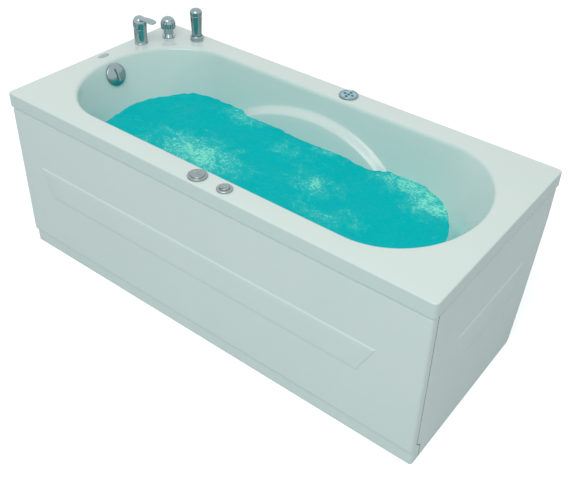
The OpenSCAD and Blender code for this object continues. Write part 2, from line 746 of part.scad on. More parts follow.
// Collar over the joint of two pipes, half sunk into their walls, which leaves a gap between their ends
collar_half = 7;
joint_gap = 1;
module collar(r, wall) {
    ring(r + 2, r - wall / 2, -collar_half, collar_half);
}
module overflow_pipe() {
    pipe_top = spigot_bottom + 25 - seat;
    run_end = waste_x - waste_r;
    color("#e9ecec") {
        translate([elbow_x, 0, inlet_z + bend + joint_gap])
            straight_pipe(overflow_pipe_r, pipe_wall, pipe_top - inlet_z - bend - joint_gap);
        translate([elbow_x + bend, 0, inlet_z + bend]) rotate([90, 0, 0]) rotate([0, 0, 180])
            elbow(overflow_pipe_r, pipe_wall, bend);
        translate([elbow_x + bend + joint_gap, 0, inlet_z]) rotate([0, 90, 0])
            straight_pipe(overflow_pipe_r, pipe_wall, run_end - elbow_x - bend - joint_gap);
        translate([elbow_x, 0, inlet_z + bend]) collar(overflow_pipe_r, pipe_wall);
        translate([elbow_x + bend, 0, inlet_z]) rotate([0, 90, 0]) collar(overflow_pipe_r, pipe_wall);
    }
}
cable_x = foot_end + 48;
cable_route = [[elbow_x, -20, cable_z], [elbow_x, -28, cable_z], [elbow_x, -36, cable_z],
    [cable_x + 4, -46, cable_z - 15], [cable_x, -44, cable_z - 47], [cable_x, -44, cable_z - 97],
    [cable_x, -44, inlet_z + 151], [cable_x + 7, -46, inlet_z + 71], [cable_x + 42, -50, inlet_z + 33],
    [cable_x + 102, -54, inlet_z + 9], [waste_x - 90, -58, inlet_z], [waste_x - 30, -60, inlet_z],
    [waste_x, -48, inlet_z], [waste_x, -38, inlet_z], [waste_x, -waste_r, inlet_z]];
module plug_cable() {
    color("#3b3f42") tube(cable_route, cable_r, 8, 3);
}

// Deck taps. Heights are above the deck
socket_spread = 9;
nipple_r = 4;
inlet_r = 4.5;
module hose_socket(angle) {
    rotate([0, 0, angle]) translate([socket_spread, 0, 0]) children();
}
pivot_ball_r = mixer_r - 2;
mixer_shoulder = mixer_pivot - 6;
cartridge_r = mixer_r - 4;
cartridge_top = mixer_shoulder - 4.2;
stem_shaft_r = 5;
module mixer_body() {
    color("#c9d2d4") on_deck(mixer_x, mixer_y) difference() {
        union() {
            rod(shank_r, -shank_length, seat + 1);
            translate([0, 0, seat]) cylinder(r1 = mixer_r + 1, r2 = mixer_r, h = 4);
            rod(mixer_r, seat, mixer_shoulder);
            intersection() {
                translate([0, 0, mixer_pivot]) sphere(pivot_ball_r);
                rod(mixer_r, mixer_shoulder - 1, mixer_pivot + 10);
            }
        }
        rod(cartridge_r, 8, mixer_shoulder - 4);
        intersection() {
            translate([0, 0, mixer_pivot]) sphere(pivot_ball_r - 2.4);
            rod(mixer_r, mixer_shoulder - 5, mixer_pivot + 11);
        }
        hose_socket(0) rod(nipple_r + 0.3, -shank_length - over, -shank_length + 12);
        for (a = [130, 230]) hose_socket(a) rod(inlet_r, -shank_length - over, -shank_length + 12);
    }
}
module mixer_cartridge() {
    color("#4a5054") on_deck(mixer_x, mixer_y) difference() {
        rod(cartridge_r - 0.1, 8 + seat, cartridge_top);
        rod(stem_shaft_r + running, cartridge_top - 12, cartridge_top + over);
    }
}
lever_pin_r = 2;
module mixer_stem() {
    color("#b9a36a") on_deck(mixer_x, mixer_y) {
        rod(stem_shaft_r, cartridge_top - 11, cartridge_top + over);
        rod(9, cartridge_top + seat, mixer_shoulder - 1);
        block([-3, -4, mixer_shoulder - 2], [3, 4, mixer_pivot + 4]);
        translate([0, 0, mixer_pivot]) rotate([90, 0, 0]) rod(lever_pin_r, -9, 9);
    }
}
// The handle's skirt is cut on a slant, so that the lever can lift
skirt_tilt = 11;
dome_z = mixer_pivot + 15;
paddle_r = 17;
module mixer_handle() {
    color("#c9d2d4") on_deck(mixer_x, mixer_y) {
        difference() {
            union() {
                rod(mixer_r, mixer_pivot - 8, dome_z);
                translate([0, 0, dome_z]) sphere(mixer_r);
                hull() {
                    translate([6, 0, dome_z + 8]) sphere(12, $fn = 28);
                    translate([lever_reach - paddle_r, 0, dome_z + 14]) scale([1, 1, 0.35])
                        sphere(paddle_r, $fn = 32);
                }
            }
            translate([0, 0, mixer_pivot]) sphere(pivot_ball_r + 0.4);
            translate([mixer_r, 0, mixer_shoulder + 1]) rotate([0, skirt_tilt, 0])
                block([-80, -50, -40], [50, 50, 0]);
        }
        difference() {
            for (side = [-1, 1]) translate([0, side * 6.6, 0])
                block([-4.5, -2.2, mixer_pivot - 4.5], [4.5, 2.2, mixer_pivot + 24]);
            translate([0, 0, mixer_pivot]) rotate([90, 0, 0]) rod(lever_pin_r + running, -20, 20);
        }
    }
}
nut_r = 1.58 * shank_r;
module deck_nuts() {
    color("#a9aeb2") for (p = [[mixer_x, mixer_y], [diverter_x, diverter_y], [shower_x, shower_y]])
        on_deck(p.x, p.y) {
            ring(nut_r - 2, shank_r + 0.1, -sheet - seat - 2, -sheet - seat);
            hex_nut(nut_r, shank_r + 0.1, -sheet - 2 * seat - 11, -sheet - 2 * seat - 2);
        }
}
spindle_r = 5;
module diverter_body() {
    color("#c9d2d4") on_deck(diverter_x, diverter_y) difference() {
        union() {
            rod(shank_r, -shank_length, seat + 1);
            rod(22.5, seat, 3);
            translate([0, 0, 3]) cylinder(r1 = 22.5, r2 = 17, h = 11);
            rod(17, 13, 31);
            rod(spindle_r, 30, 50);
        }
        for (a = [30, 150, 270]) hose_socket(a) rod(nipple_r + 0.3, -shank_length - over, -shank_length + 12);
    }
}
scallops = 12;
module diverter_knob() {
    dome = 22;
    color("#c9d2d4") on_deck(diverter_x, diverter_y) difference() {
        union() {
            rod(diverter_knob_r, 33, diverter_height - dome);
            intersection() {
                translate([0, 0, diverter_height - 30]) sphere(30);
                rod(diverter_knob_r, diverter_height - dome - 1, diverter_height + over);
            }
        }
        rod(18, 32, 44);
        rod(spindle_r + running, 43, 52);
        for (i = [0:scallops - 1]) rotate([0, 0, 360 * i / scallops])
            translate([diverter_knob_r + 2.2, 0, 0]) rod(3.6, 30, diverter_height);
    }
}
holder_bore = 13;
module handset_holder() {
    color("#c9d2d4") on_deck(shower_x, shower_y) difference() {
        union() {
            rod(shank_r, -shank_length, seat + 1);
            rod(23, seat, 16);
            translate([0, 0, 16]) cylinder(r1 = 23, r2 = 21, h = 2);
        }
        rod(holder_bore, -shank_length - over, 20);
        rod(handset_foot_r + 1, 5, 20);
    }
}
handset_tail = -shank_length + 4;
module handset() {
    head = handset_height - 10;
    color("#c9d2d4") on_deck(shower_x, shower_y) {
        translate([0, 0, 5 + seat]) cylinder(r1 = handset_foot_r, r2 = handset_head_r, h = head - 5 - seat);
        intersection() {
            translate([0, 0, handset_height - 26.5]) sphere(26.5);
            rod(handset_head_r, head - 1, handset_height + over);
        }
        rod(holder_bore - 0.4, handset_tail, 6);
    }
}

// Hoses under the deck, each with crimped ends. The routes are points that the middle line passes
hose_top = rim_height - shank_length - seat;
ferrule = 14;
socket_angle_x = socket_spread * cos(30);
socket_angle_y = socket_spread * sin(30);
module hose_end_up(p) {
    translate(p) {
        rod(hose_r + 1, -ferrule, 0);
        rod(nipple_r, -1, 10);
    }
}
mixer_outlet = [mixer_x + socket_spread, mixer_y, hose_top];
diverter_inlet = [diverter_x, diverter_y - socket_spread, hose_top];
mixer_route = [[mixer_x + socket_spread, mixer_y, hose_top - 2],
    [mixer_x + socket_spread, mixer_y, hose_top - 20], [mixer_x + 8, mixer_y - 2, hose_top - 50],
    [mixer_x + 7, mixer_y - 5, hose_top - 80], [mixer_x + 12, mixer_y + 9, hose_top - 112],
    [mixer_x + 21, mixer_y + 42, hose_top - 126], [diverter_x - 4, diverter_y - 20, hose_top - 114],
    [diverter_x + 1, diverter_y - 3, hose_top - 82], [diverter_x, diverter_y - 6, hose_top - 50],
    [diverter_x, diverter_y - socket_spread, hose_top - 20],
    [diverter_x, diverter_y - socket_spread, hose_top - 2]];
module mixer_hose() {
    color("#b7bcc0") {
        tube(mixer_route, hose_r, 10, 2);
        hose_end_up(mixer_outlet);
        hose_end_up(diverter_inlet);
    }
}
filler_outlet = [diverter_x + socket_angle_x, diverter_y + socket_angle_y, hose_top];
filler_route = [[diverter_x + socket_angle_x, diverter_y + socket_angle_y, hose_top - 2],
    [diverter_x + 8, diverter_y + 4, hose_top - 20], [diverter_x + 15, diverter_y + 2, hose_top - 55],
    [diverter_x + 25, diverter_y - 12, hose_top - 88], [diverter_x + 30, diverter_y - 45, hose_top - 108],
    [diverter_x + 25, diverter_y - 90, hose_top - 108], [diverter_x + 10, filler_y + 90, hose_top - 85],
    [elbow_x + 9, filler_y + 68, hose_top - 52], [elbow_x, filler_y + 50, hose_top - 20],
    [elbow_x, filler_y + 30, elbow_z - 3], [elbow_x, filler_y + 16, elbow_z],
    [elbow_x, filler_y + 2, elbow_z]];
module filler_hose() {
    color("#b7bcc0") {
        tube(filler_route, hose_r, 10, 2);
        hose_end_up(filler_outlet);
        translate([elbow_x, filler_y + seat, elbow_z]) rotate([90, 0, 0]) {
            rod(hose_r + 1, -ferrule, 0);
            rod(nipple_r, -1, 10);
        }
    }
}
shower_outlet = [diverter_x - socket_angle_x, diverter_y + socket_angle_y, hose_top];
shower_route = [[diverter_x - socket_angle_x, diverter_y + socket_angle_y, hose_top - 2],
    for (z = [20, 100, 190, 280]) [diverter_x - 8, diverter_y + 5, hose_top - z],
    [diverter_x - 5, diverter_y + 6, hose_top - 335], [diverter_x + 8, diverter_y + 12, hose_top - 373],
    [(diverter_x + shower_x) / 2 - 6, diverter_y + 24, hose_top - 390],
    [shower_x - 19, shower_y - 8, hose_top - 373], [shower_x - 4, shower_y - 2, hose_top - 335],
    for (z = [280, 190, 100, 20]) [shower_x, shower_y, hose_top - z],
    [shower_x, shower_y, rim_height + handset_tail - 6]];
module shower_hose() {
    color("#c3c8cb") {
        tube(shower_route, hose_r, 10, 2);
        hose_end_up(shower_outlet);
        translate([shower_x, shower_y, rim_height + handset_tail - seat]) rod(hose_r + 2, -ferrule, 0);
    }
}

// Control pad on the back rim
pad_face = 4.5;
cup_bottom = -32;
key_places = [[0, 0], [-key_spread, 0], [key_spread, 0], [0, -key_spread], [0, key_spread]];
module pad_bezel() {
    color("#8b9aa0") on_deck(pad_x, deck_y) difference() {
        union() {
            rod(bezel_r, seat, 4);
            translate([0, 0, 4]) cylinder(r1 = bezel_r, r2 = bezel_r - 3, h = 3);
            rod(pad_cup_r, cup_bottom, 1);
        }
        rod(bezel_r - 7, pad_face, 9);
        rod(pad_cup_r - 2, cup_bottom + 2, 1.5);
        for (p = key_places) translate(p) rod(key_r + running, 0, 6);
        rod(3.2, cup_bottom - over, cup_bottom + 3);
    }
}
board_top_z = -4;
module pad_board() {
    color("#2f6b4a") on_deck(pad_x, deck_y) {
        rod(pad_cup_r - 2.3, board_top_z - 1.6, board_top_z);
        for (p = key_places) translate(p) rod(1.5, board_top_z - 0.5, -2.6);
        for (a = [45, 135, 225, 315]) rotate([0, 0, a]) translate([15, 0, 0])
            rod(2, cup_bottom + 2.2, board_top_z - 1);
    }
}
module pad_key(i) {
    color("#3c4a58") on_deck(pad_x, deck_y) translate(key_places[i]) {
        rod(key_r, 0, pad_face + 1.6);
        rod(key_r + 1, -1.2, 1.2);
    }
}
module pad_button_middle() { pad_key(0); }
module pad_button_left() { pad_key(1); }
module pad_button_right() { pad_key(2); }
module pad_button_front() { pad_key(3); }
module pad_button_back() { pad_key(4); }

// Middle of the suction pipe and axis of the pump, which runs across the tub
elbow_out = 43;
suction_y = -(low_wall_y(suction_drop) + elbow_out * cos(low_slope));
suction_z = rim_height - suction_drop - elbow_out * sin(low_slope);
pump_y = -107;
volute_half = 20;
motor_length = 170;
motor_y0 = pump_y + volute_half + seat;
motor_y1 = motor_y0 + motor_length;
terminal_z = suction_z + motor_r + 23;

// Control box on the back post
box_x = post_x - 14;
box_y = post_y - post_size / 2 - seat;
box_size = [96, 64, 180];
box_z = rim_height - 320;
box_left = box_x - box_size.x / 2;
gland_z = box_z + 140;
gland_y = box_y - box_size.y / 2;
lower_gland_y = box_y - 44;
motor_gland_x = box_left + 20;
mains_gland_x = box_left + 24;
mains_gland_z = box_z + 40;
module control_box() {
    color("#d4d8da") difference() {
        union() {
            block([box_left, box_y - box_size.y, box_z],
                [box_left + box_size.x, box_y, box_z + box_size.z]);
            translate([0, gland_y, gland_z]) along_x(box_left - 12, box_left) rod(8, 0, 13);
            translate([motor_gland_x, lower_gland_y, box_z]) rod(8, -12, 1);
            translate([mains_gland_x, box_y, mains_gland_z]) rotate([-90, 0, 0]) rod(9, -over, 14);
        }
        block([box_left + 3, box_y - box_size.y + 3, box_z + 3],
            [box_left + box_size.x - 3, box_y - 3, box_z + box_size.z - 3]);
        translate([0, gland_y, gland_z]) along_x(box_left - 13, box_left) rod(3.2, 0, 17);
        translate([motor_gland_x, lower_gland_y, box_z]) rod(3.2, -13, 4);
        translate([mains_gland_x, box_y, mains_gland_z]) rotate([-90, 0, 0]) rod(4.5, -4, 15);
    }
}
wire_r = 3;
pad_route = [[pad_x, deck_y, rim_height + cup_bottom + 2], [pad_x, deck_y, rim_height - 48],
    [pad_x + 8, deck_y + 3.5, rim_height - 65], [pad_x + 34, deck_y + 6.5, rim_height - 76],
    [pad_x + 124, deck_y + 7.5, rim_height - 80], [pad_x + 274, deck_y + 7.5, rim_height - 82],
    [box_left - 158, deck_y + 5.5, rim_height - 94], [box_left - 83, deck_y - 6.5, rim_height - 128],
    [box_left - 48, gland_y + 14, gland_z + 18], [box_left - 32, gland_y, gland_z],
    [box_left - 20, gland_y, gland_z], [box_left - 10, gland_y, gland_z],
    [box_left + 2, gland_y, gland_z]];
motor_route = [[motor_gland_x, lower_gland_y, box_z + 2], [motor_gland_x, lower_gland_y, box_z - 12],
    [motor_gland_x, lower_gland_y, box_z - 24], [motor_gland_x, lower_gland_y - 22, box_z - 45],
    [pump_x, motor_y1 + 117, suction_z - 39], [pump_x - 2, motor_y1 + 85, suction_z - 19],
    [pump_x - 3, motor_y1 + 67, suction_z + 31], [pump_x, motor_y1 + 45, terminal_z - 14],
    [pump_x, motor_y1 + 21, terminal_z], [pump_x, motor_y1 + 5, terminal_z],
    [pump_x, motor_y1 - 17, terminal_z]];
module control_cables() {
    color("#26292b") {
        tube(pad_route, wire_r, 8, 3);
        tube(motor_route, wire_r, 8, 3);
    }
}

// Air control and pump button on the front rim
valve_length = 76;
module air_valve() {
    color("#d9dde0") on_deck(air_x, -deck_y) difference() {
        union() {
            rod(air_shank_r + 4, seat, 2);
            rod(air_shank_r, -60, 1);
            rod(nipple_r + 2, -valve_length, -59);
        }
        rod(air_shank_r - 3, -56, -12);
        rod(spindle_r + running, -14, 3);
        rod(nipple_r, -valve_length - over, -55);
    }
}
module air_knob() {
    color("#b9c2c4") on_deck(air_x, -deck_y) {
        difference() {
            union() {
                rod(air_knob_r, seat, 5);
                translate([0, 0, 5]) cylinder(r1 = air_knob_r, r2 = air_knob_r - 2, h = 1.5);
                rod(air_knob_r - 8, 5, 9);
            }
            rod(air_shank_r + 4.5, 0, 2.5);
            block([-14, -1.2, 7.6], [14, 1.2, 10]);
        }
        rod(spindle_r, -12, 3);
    }
}
cap_r = 13;
button_length = 62;
module button_body() {
    color("#b9c2c4") on_deck(button_x, -deck_y) difference() {
        union() {
            rod(button_bezel_r, seat, 4);
            translate([0, 0, 4]) cylinder(r1 = button_bezel_r, r2 = button_bezel_r - 2, h = 1.5);
            rod(button_shank_r, -50, 1);
            rod(4, -button_length, -49);
        }
        rod(cap_r + 0.1, -12, 7);
        rod(6, -46, -11);
        rod(1.6, -button_length - over, -45);
    }
}
module push_button() {
    color("#aeb8bb") on_deck(button_x, -deck_y) difference() {
        union() {
            rod(cap_r, -7, 7.5);
            rod(5.8, -30, -6);
        }
        block([-5, -cap_r, 6.6], [5, -cap_r + 6, 9]);
    }
}
tube_route = [[button_x, -deck_y, rim_height - button_length - seat], [button_x, -deck_y, rim_height - 70],
    [button_x, -deck_y, rim_height - 78], [button_x + 12, -deck_y - 1.5, rim_height - 92],
    [button_x + 50, -deck_y - 5.5, rim_height - 102], [button_x + 200, -deck_y - 6.5, rim_height - 108],
    [pump_x - 190, -deck_y - 3.5, rim_height - 118], [pump_x - 80, -deck_y + 14.5, rim_height - 140],
    [pump_x - 10, -deck_y + 69.5, rim_height - 170], [pump_x + 32, pump_y - 43, terminal_z + 53],
    [pump_x + 28, pump_y + 22, terminal_z + 18], [pump_x + 22, motor_y0 + 37, terminal_z],
    [pump_x + 22, motor_y0 + 49, terminal_z], [pump_x + 22, motor_y0 + 67, terminal_z]];
module button_tube() {
    color("#dfe6e8") tube(tube_route, wire_r, 8, 3);
}

// Jets. Each has a body behind the wall, a flange in front and a turning nozzle
line_out = 62;
line_up = 18;
air_out = 40;
air_up = 46;
module jet_bodies() {
    color("#e9ecec") for (side = [-1, 1], x = jet_x) on_side(x, jet_drop, side) difference() {
        union() {
            rod(jet_flange_r, sheet + seat, sheet + seat + 5);
            rod(jet_sleeve_r + 4, sheet + seat, 50);
            translate([0, -line_up, line_out]) along_x(-24, 24) rod(water_r + 5, 0, 48);
            translate([0, -air_up, air_out]) along_x(-14, 14) rod(air_r + 4, 0, 28);
            translate([0, 0, air_out]) rotate([90, 0, 0]) rod(6, 20, air_up - air_r - 2);
        }
        rod(jet_sleeve_r + 0.3, sheet, 30);
        translate([0, -line_up, line_out]) along_x(-28, 28) rod(water_r + 0.2, 0, 56);
        translate([0, -air_up, air_out]) along_x(-15, 15) rod(air_r + 0.2, 0, 30);
    }
}
nozzle_r = 19;
module jet_flanges() {
    color("#d3dadc") for (side = [-1, 1], x = jet_x) on_side(x, jet_drop, side) difference() {
        union() {
            rod(jet_flange_r, -5, -seat);
            rod(jet_sleeve_r, -1, 26);
        }
        rod(nozzle_r + running, -6, 27);
    }
}
module jet_nozzle(side, x) {
    color("#bcc6c9") on_side(x, jet_drop, side) difference() {
        union() {
            rod(jet_face_r, -9, -5 - seat);
            rod(nozzle_r, -6, 14);
        }
        translate([4, 0, 0]) rod(7, -10, 15);
        for (i = [0:7]) rotate([0, 0, 45 * i]) translate([22, 0, 0]) rod(1.6, -10, -4);
    }
}
module jet_nozzle_1() { jet_nozzle(-1, jet_x[0]); }
module jet_nozzle_2() { jet_nozzle(-1, jet_x[1]); }
module jet_nozzle_3() { jet_nozzle(-1, jet_x[2]); }
module jet_nozzle_4() { jet_nozzle(1, jet_x[0]); }
module jet_nozzle_5() { jet_nozzle(1, jet_x[1]); }
module jet_nozzle_6() { jet_nozzle(1, jet_x[2]); }

// Pipework. The middle lines follow from the jets' bodies
jet_y = low_wall_y(jet_drop);
water_y = jet_y + line_out * cos(low_slope) + line_up * sin(low_slope);
water_z = rim_height - jet_drop - line_out * sin(low_slope) + line_up * cos(low_slope);
air_y = jet_y + air_out * cos(low_slope) + air_up * sin(low_slope);
air_z = rim_height - jet_drop - air_out * sin(low_slope) + air_up * cos(low_slope);
water_bend = 40;
cross_x = pump_x - 105;
water_start = jet_x[0] - 30;
outlet_reach = 65;
outlet_face = pump_x - outlet_reach;
module water_manifold() {
    cross_half = water_y - water_bend - joint_gap;
    color("#e3e7e8") translate([0, 0, water_z]) {
        both_sides() {
            translate([water_start, water_y, 0]) rotate([0, 90, 0])
                straight_pipe(water_r, pipe_wall, cross_x - water_bend - joint_gap - water_start);
            translate([water_start - 4, water_y, 0]) rotate([0, 90, 0]) rod(water_r + 2, 0, 6);
            translate([cross_x - water_bend, water_y, 0]) rotate([0, 90, 0]) collar(water_r, pipe_wall);
            translate([cross_x, water_y - water_bend, 0]) rotate([90, 0, 0]) collar(water_r, pipe_wall);
            translate([cross_x - water_bend, water_y - water_bend, 0])
                elbow(water_r, pipe_wall, water_bend);
        }
        difference() {
            union() {
                translate([cross_x, -cross_half, 0]) rotate([-90, 0, 0]) rod(water_r, 0, 2 * cross_half);
                translate([cross_x, pump_y, 0]) rotate([0, 90, 0])
                    rod(water_r, 0, outlet_face - cross_x - seat);
            }
            translate([cross_x, -cross_half - over, 0]) rotate([-90, 0, 0])
                rod(water_r - pipe_wall, 0, 2 * (cross_half + over));
            translate([cross_x, pump_y, 0]) rotate([0, 90, 0]) rod(water_r - pipe_wall, 0, 200);
        }
    }
}
air_bend = 30;
air_cross_x = foot_end + 110;
air_end = jet_x[2] + 20;
riser_bottom = air_z + air_r - 1;
riser_top = riser_bottom + 18;
air_route = [[air_x, -air_y, riser_top + seat], [air_x, -air_y, riser_top + 5],
    [air_x, -air_y, riser_top + 10], [air_x, -air_y - 13.5, riser_top + 30],
    [air_x, -deck_y + 29.5, rim_height - 145], [air_x, -deck_y + 6.5, rim_height - 115],
    [air_x, -deck_y, rim_height - 96], [air_x, -deck_y, rim_height - 86],
    [air_x, -deck_y, rim_height - valve_length - seat]];
module air_pipes() {
    both_sides() {
        translate([air_cross_x + air_bend + joint_gap, air_y, 0]) rotate([0, 90, 0])
            straight_pipe(air_r, 1.5, air_end - air_cross_x - air_bend - joint_gap);
        translate([air_end, air_y, 0]) rotate([0, 90, 0]) rod(air_r + 1.5, -2, 4);
        translate([air_cross_x + air_bend, air_y - air_bend, 0]) rotate([0, 0, 90])
            elbow(air_r, 1.5, air_bend);
        translate([air_cross_x + air_bend, air_y, 0]) rotate([0, 90, 0]) collar(air_r, 1.5);
        translate([air_cross_x, air_y - air_bend, 0]) rotate([90, 0, 0]) collar(air_r, 1.5);
    }
    translate([air_cross_x, air_bend + joint_gap - air_y, 0]) rotate([-90, 0, 0])
        straight_pipe(air_r, 1.5, 2 * (air_y - air_bend - joint_gap));
}
module air_manifold() {
    color("#e3e7e8") {
        difference() {
            union() {
                translate([0, 0, air_z]) air_pipes();
                translate([air_x, -air_y, 0]) rod(air_r - 1, riser_bottom, riser_top);
            }
            translate([air_x, -air_y, 0]) rod(air_r - 3, air_z, riser_top + over);
        }
        tube(air_route, air_r - 2, 10, 2);
    }
}

// Suction on the front wall
grille_r = 42;
module suction_fitting() {
    color("#d3dadc") on_side(suction_x, suction_drop, -1) difference() {
        union() {
            rod(grille_r, -6, -seat);
            rod(suction_sleeve_r, -1, sheet + 8);
        }
        rod(suction_sleeve_r - 3, -2, sheet + 9);
        for (i = [0:11]) rotate([0, 0, 30 * i]) translate([33, 0, 0]) rod(2.4, -7, 1);
    }
    color("#c6ced1") on_side(suction_x, suction_drop, -1) difference() {
        rod(suction_sleeve_r - 2.9, -6, -3);
        for (i = [0:5]) rotate([0, 0, 60 * i]) translate([14, 0, 0]) rod(4, -7, 1);
        rod(4, -7, 1);
    }
    color("#e9ecec") on_side(suction_x, suction_drop, -1) difference() {
        union() {
            rod(grille_r - 2, sheet + seat, sheet + seat + 5);
            rod(suction_r + 5, sheet + seat, elbow_out + 29);
            translate([0, 0, elbow_out]) along_x(0, 60) rod(suction_r + 4, 0, 60);
        }
        rod(suction_sleeve_r + 0.3, sheet, elbow_out + 10);
        translate([0, 0, elbow_out]) along_x(30, 61) rod(suction_r + 0.1, 0, 31);
        translate([0, 0, elbow_out]) along_x(0, 31) rod(suction_r - 2, 0, 31);
    }
}
suction_bend = 50;
pump_front = pump_y - 26;
module suction_pipe() {
    x0 = suction_x + 30 + seat;
    color("#e3e7e8") translate([0, 0, suction_z]) {
        translate([x0, suction_y, 0]) rotate([0, 90, 0])
            straight_pipe(suction_r, pipe_wall, pump_x - suction_bend - joint_gap - x0);
        translate([pump_x - suction_bend, suction_y + suction_bend, 0]) rotate([0, 0, -90])
            elbow(suction_r, pipe_wall, suction_bend);
        translate([pump_x, suction_y + suction_bend + joint_gap, 0]) rotate([-90, 0, 0])
            straight_pipe(suction_r, pipe_wall, pump_front - suction_y - suction_bend - joint_gap - seat);
        translate([pump_x - suction_bend, suction_y, 0]) rotate([0, 90, 0]) collar(suction_r, pipe_wall);
        translate([pump_x, suction_y + suction_bend, 0]) rotate([90, 0, 0]) collar(suction_r, pipe_wall);
    }
}

// Pump. Its axis runs across the tub at the height of the suction pipe
module on_pump(y) {
    translate([pump_x, y, suction_z]) rotate([-90, 0, 0]) children();
}
volute_r = motor_r + 10;
impeller_r = 42;
module pump_volute() {
    color("#3a3f43") difference() {
        union() {
            on_pump(pump_y) rod(volute_r, -volute_half, volute_half);
            on_pump(pump_y) rod(suction_r + 4, -volute_half - 6, 1 - volute_half);
            translate([outlet_face, pump_y, water_z]) rotate([0, 90, 0])
                rod(water_r + 4, 0, outlet_reach + 1);
        }
        on_pump(pump_y) rod(impeller_r + 6, 6 - volute_half, volute_half - 6);
        on_pump(pump_y) rod(suction_r - 2, -volute_half - 7, 7 - volute_half);
        on_pump(pump_y) rod(shaft_r + 1, volute_half - 7, volute_half + over);
        translate([outlet_face - over, pump_y, water_z]) rotate([0, 90, 0])
            rod(water_r - 2, 0, outlet_reach + 3);
    }
}
fins = 20;
// The terminal box stands on the motor: its place along the motor's axis
terminal_y0 = motor_y0 + 65;
terminal_y1 = terminal_y0 + 84;
module motor_casing() {
    length = motor_length;
    color("#5a6268") {
        on_pump(motor_y0) difference() {
            union() {
                rod(motor_r - 4, 0, length);
                rod(motor_r, 0, 8);
                rod(motor_r, length - 8, length);
                for (i = [0:fins - 1]) rotate([0, 0, 360 * i / fins])
                    block([motor_r - 6, -1.2, 4], [motor_r, 1.2, length - 4]);
            }
            rod(motor_r - 8, 8, length - 8);
            rod(shaft_r + running, -over, 9);
            rod(shaft_r + running, length - 9, length - 4);
        }
        for (y = [motor_y0 + 30, motor_y1 - 40])
            block([pump_x - 40, y, shelf_top + seat + 4], [pump_x + 40, y + 10, suction_z - motor_r + 14]);
        block([pump_x - 48, motor_y0 + 20, shelf_top + seat],
            [pump_x + 48, motor_y1 - 20, shelf_top + seat + 5]);
        difference() {
            block([pump_x - 34, terminal_y0, suction_z + motor_r - 6],
                [pump_x + 34, terminal_y1, terminal_z + 16]);
            block([pump_x - 31, terminal_y0 + 3, suction_z + motor_r],
                [pump_x + 31, terminal_y1 - 3, terminal_z + 13]);
            translate([pump_x + 22, terminal_y0 - over, terminal_z]) rotate([-90, 0, 0])
                rod(wire_r + 0.2, 0, 5);
        }
        difference() {
            translate([pump_x, terminal_y1, terminal_z]) rotate([-90, 0, 0]) rod(8, -over, 15);
            translate([pump_x, terminal_y1, terminal_z]) rotate([-90, 0, 0]) rod(3.2, -4, 16);
        }
    }
}
vanes = 6;
module pump_rotor() {
    length = motor_length;
    color("#b6a05c") {
        on_pump(pump_y) {
            rod(impeller_r, 4, 8);
            rod(shaft_r + 5, -6, 8);
            for (i = [0:vanes - 1]) rotate([0, 0, 360 * i / vanes]) translate([0, 6, 0])
                block([4, -1.5, -8], [impeller_r - 4, 1.5, 5]);
            rod(shaft_r, 0, length + 14);
        }
        on_pump(motor_y0) rod(motor_r - 20, 40, length - 40);
    }
}

tub_shell();
support_boards();
frame_rails();
frame_crossbars();
frame_posts();
foot_studs();
foot_nuts();
foot_pads();
front_panel();
end_panel();
panel_brackets();
panel_screws();
waste_body();
waste_plug();
waste_trap();
overflow_body();
overflow_knob();
overflow_pipe();
plug_cable();
mixer_body();
mixer_cartridge();
mixer_stem();
mixer_handle();
deck_nuts();
diverter_body();
diverter_knob();
handset_holder();
handset();
shower_hose();
mixer_hose();
filler_hose();
pad_bezel();
pad_board();
pad_button_middle();
pad_button_left();
pad_button_right();
pad_button_front();
pad_button_back();
control_box();
control_cables();
air_knob();
air_valve();
push_button();
button_body();
button_tube();
jet_bodies();
jet_flanges();
jet_nozzle_1();
jet_nozzle_2();
jet_nozzle_3();
jet_nozzle_4();
jet_nozzle_5();
jet_nozzle_6();
water_manifold();
air_manifold();
suction_fitting();
suction_pipe();
pump_volute();
motor_casing();
pump_rotor();
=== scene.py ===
"""Dressed model of a rectangular hydro-massage bathtub for Blender 4.5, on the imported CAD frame.

The sizes in the classes are millimetres in the row frame: the origin is on the floor under the
middle of the rim, +X runs to the backrest, +Y to the wall. mesh_object() turns them to metres.
"""
import sys

import json
import logging
import math
from dataclasses import dataclass
from enum import Enum
from typing import Iterable, Sequence

import bmesh
import bpy
from mathutils import Matrix, Vector, noise
from mathutils.bvhtree import BVHTree

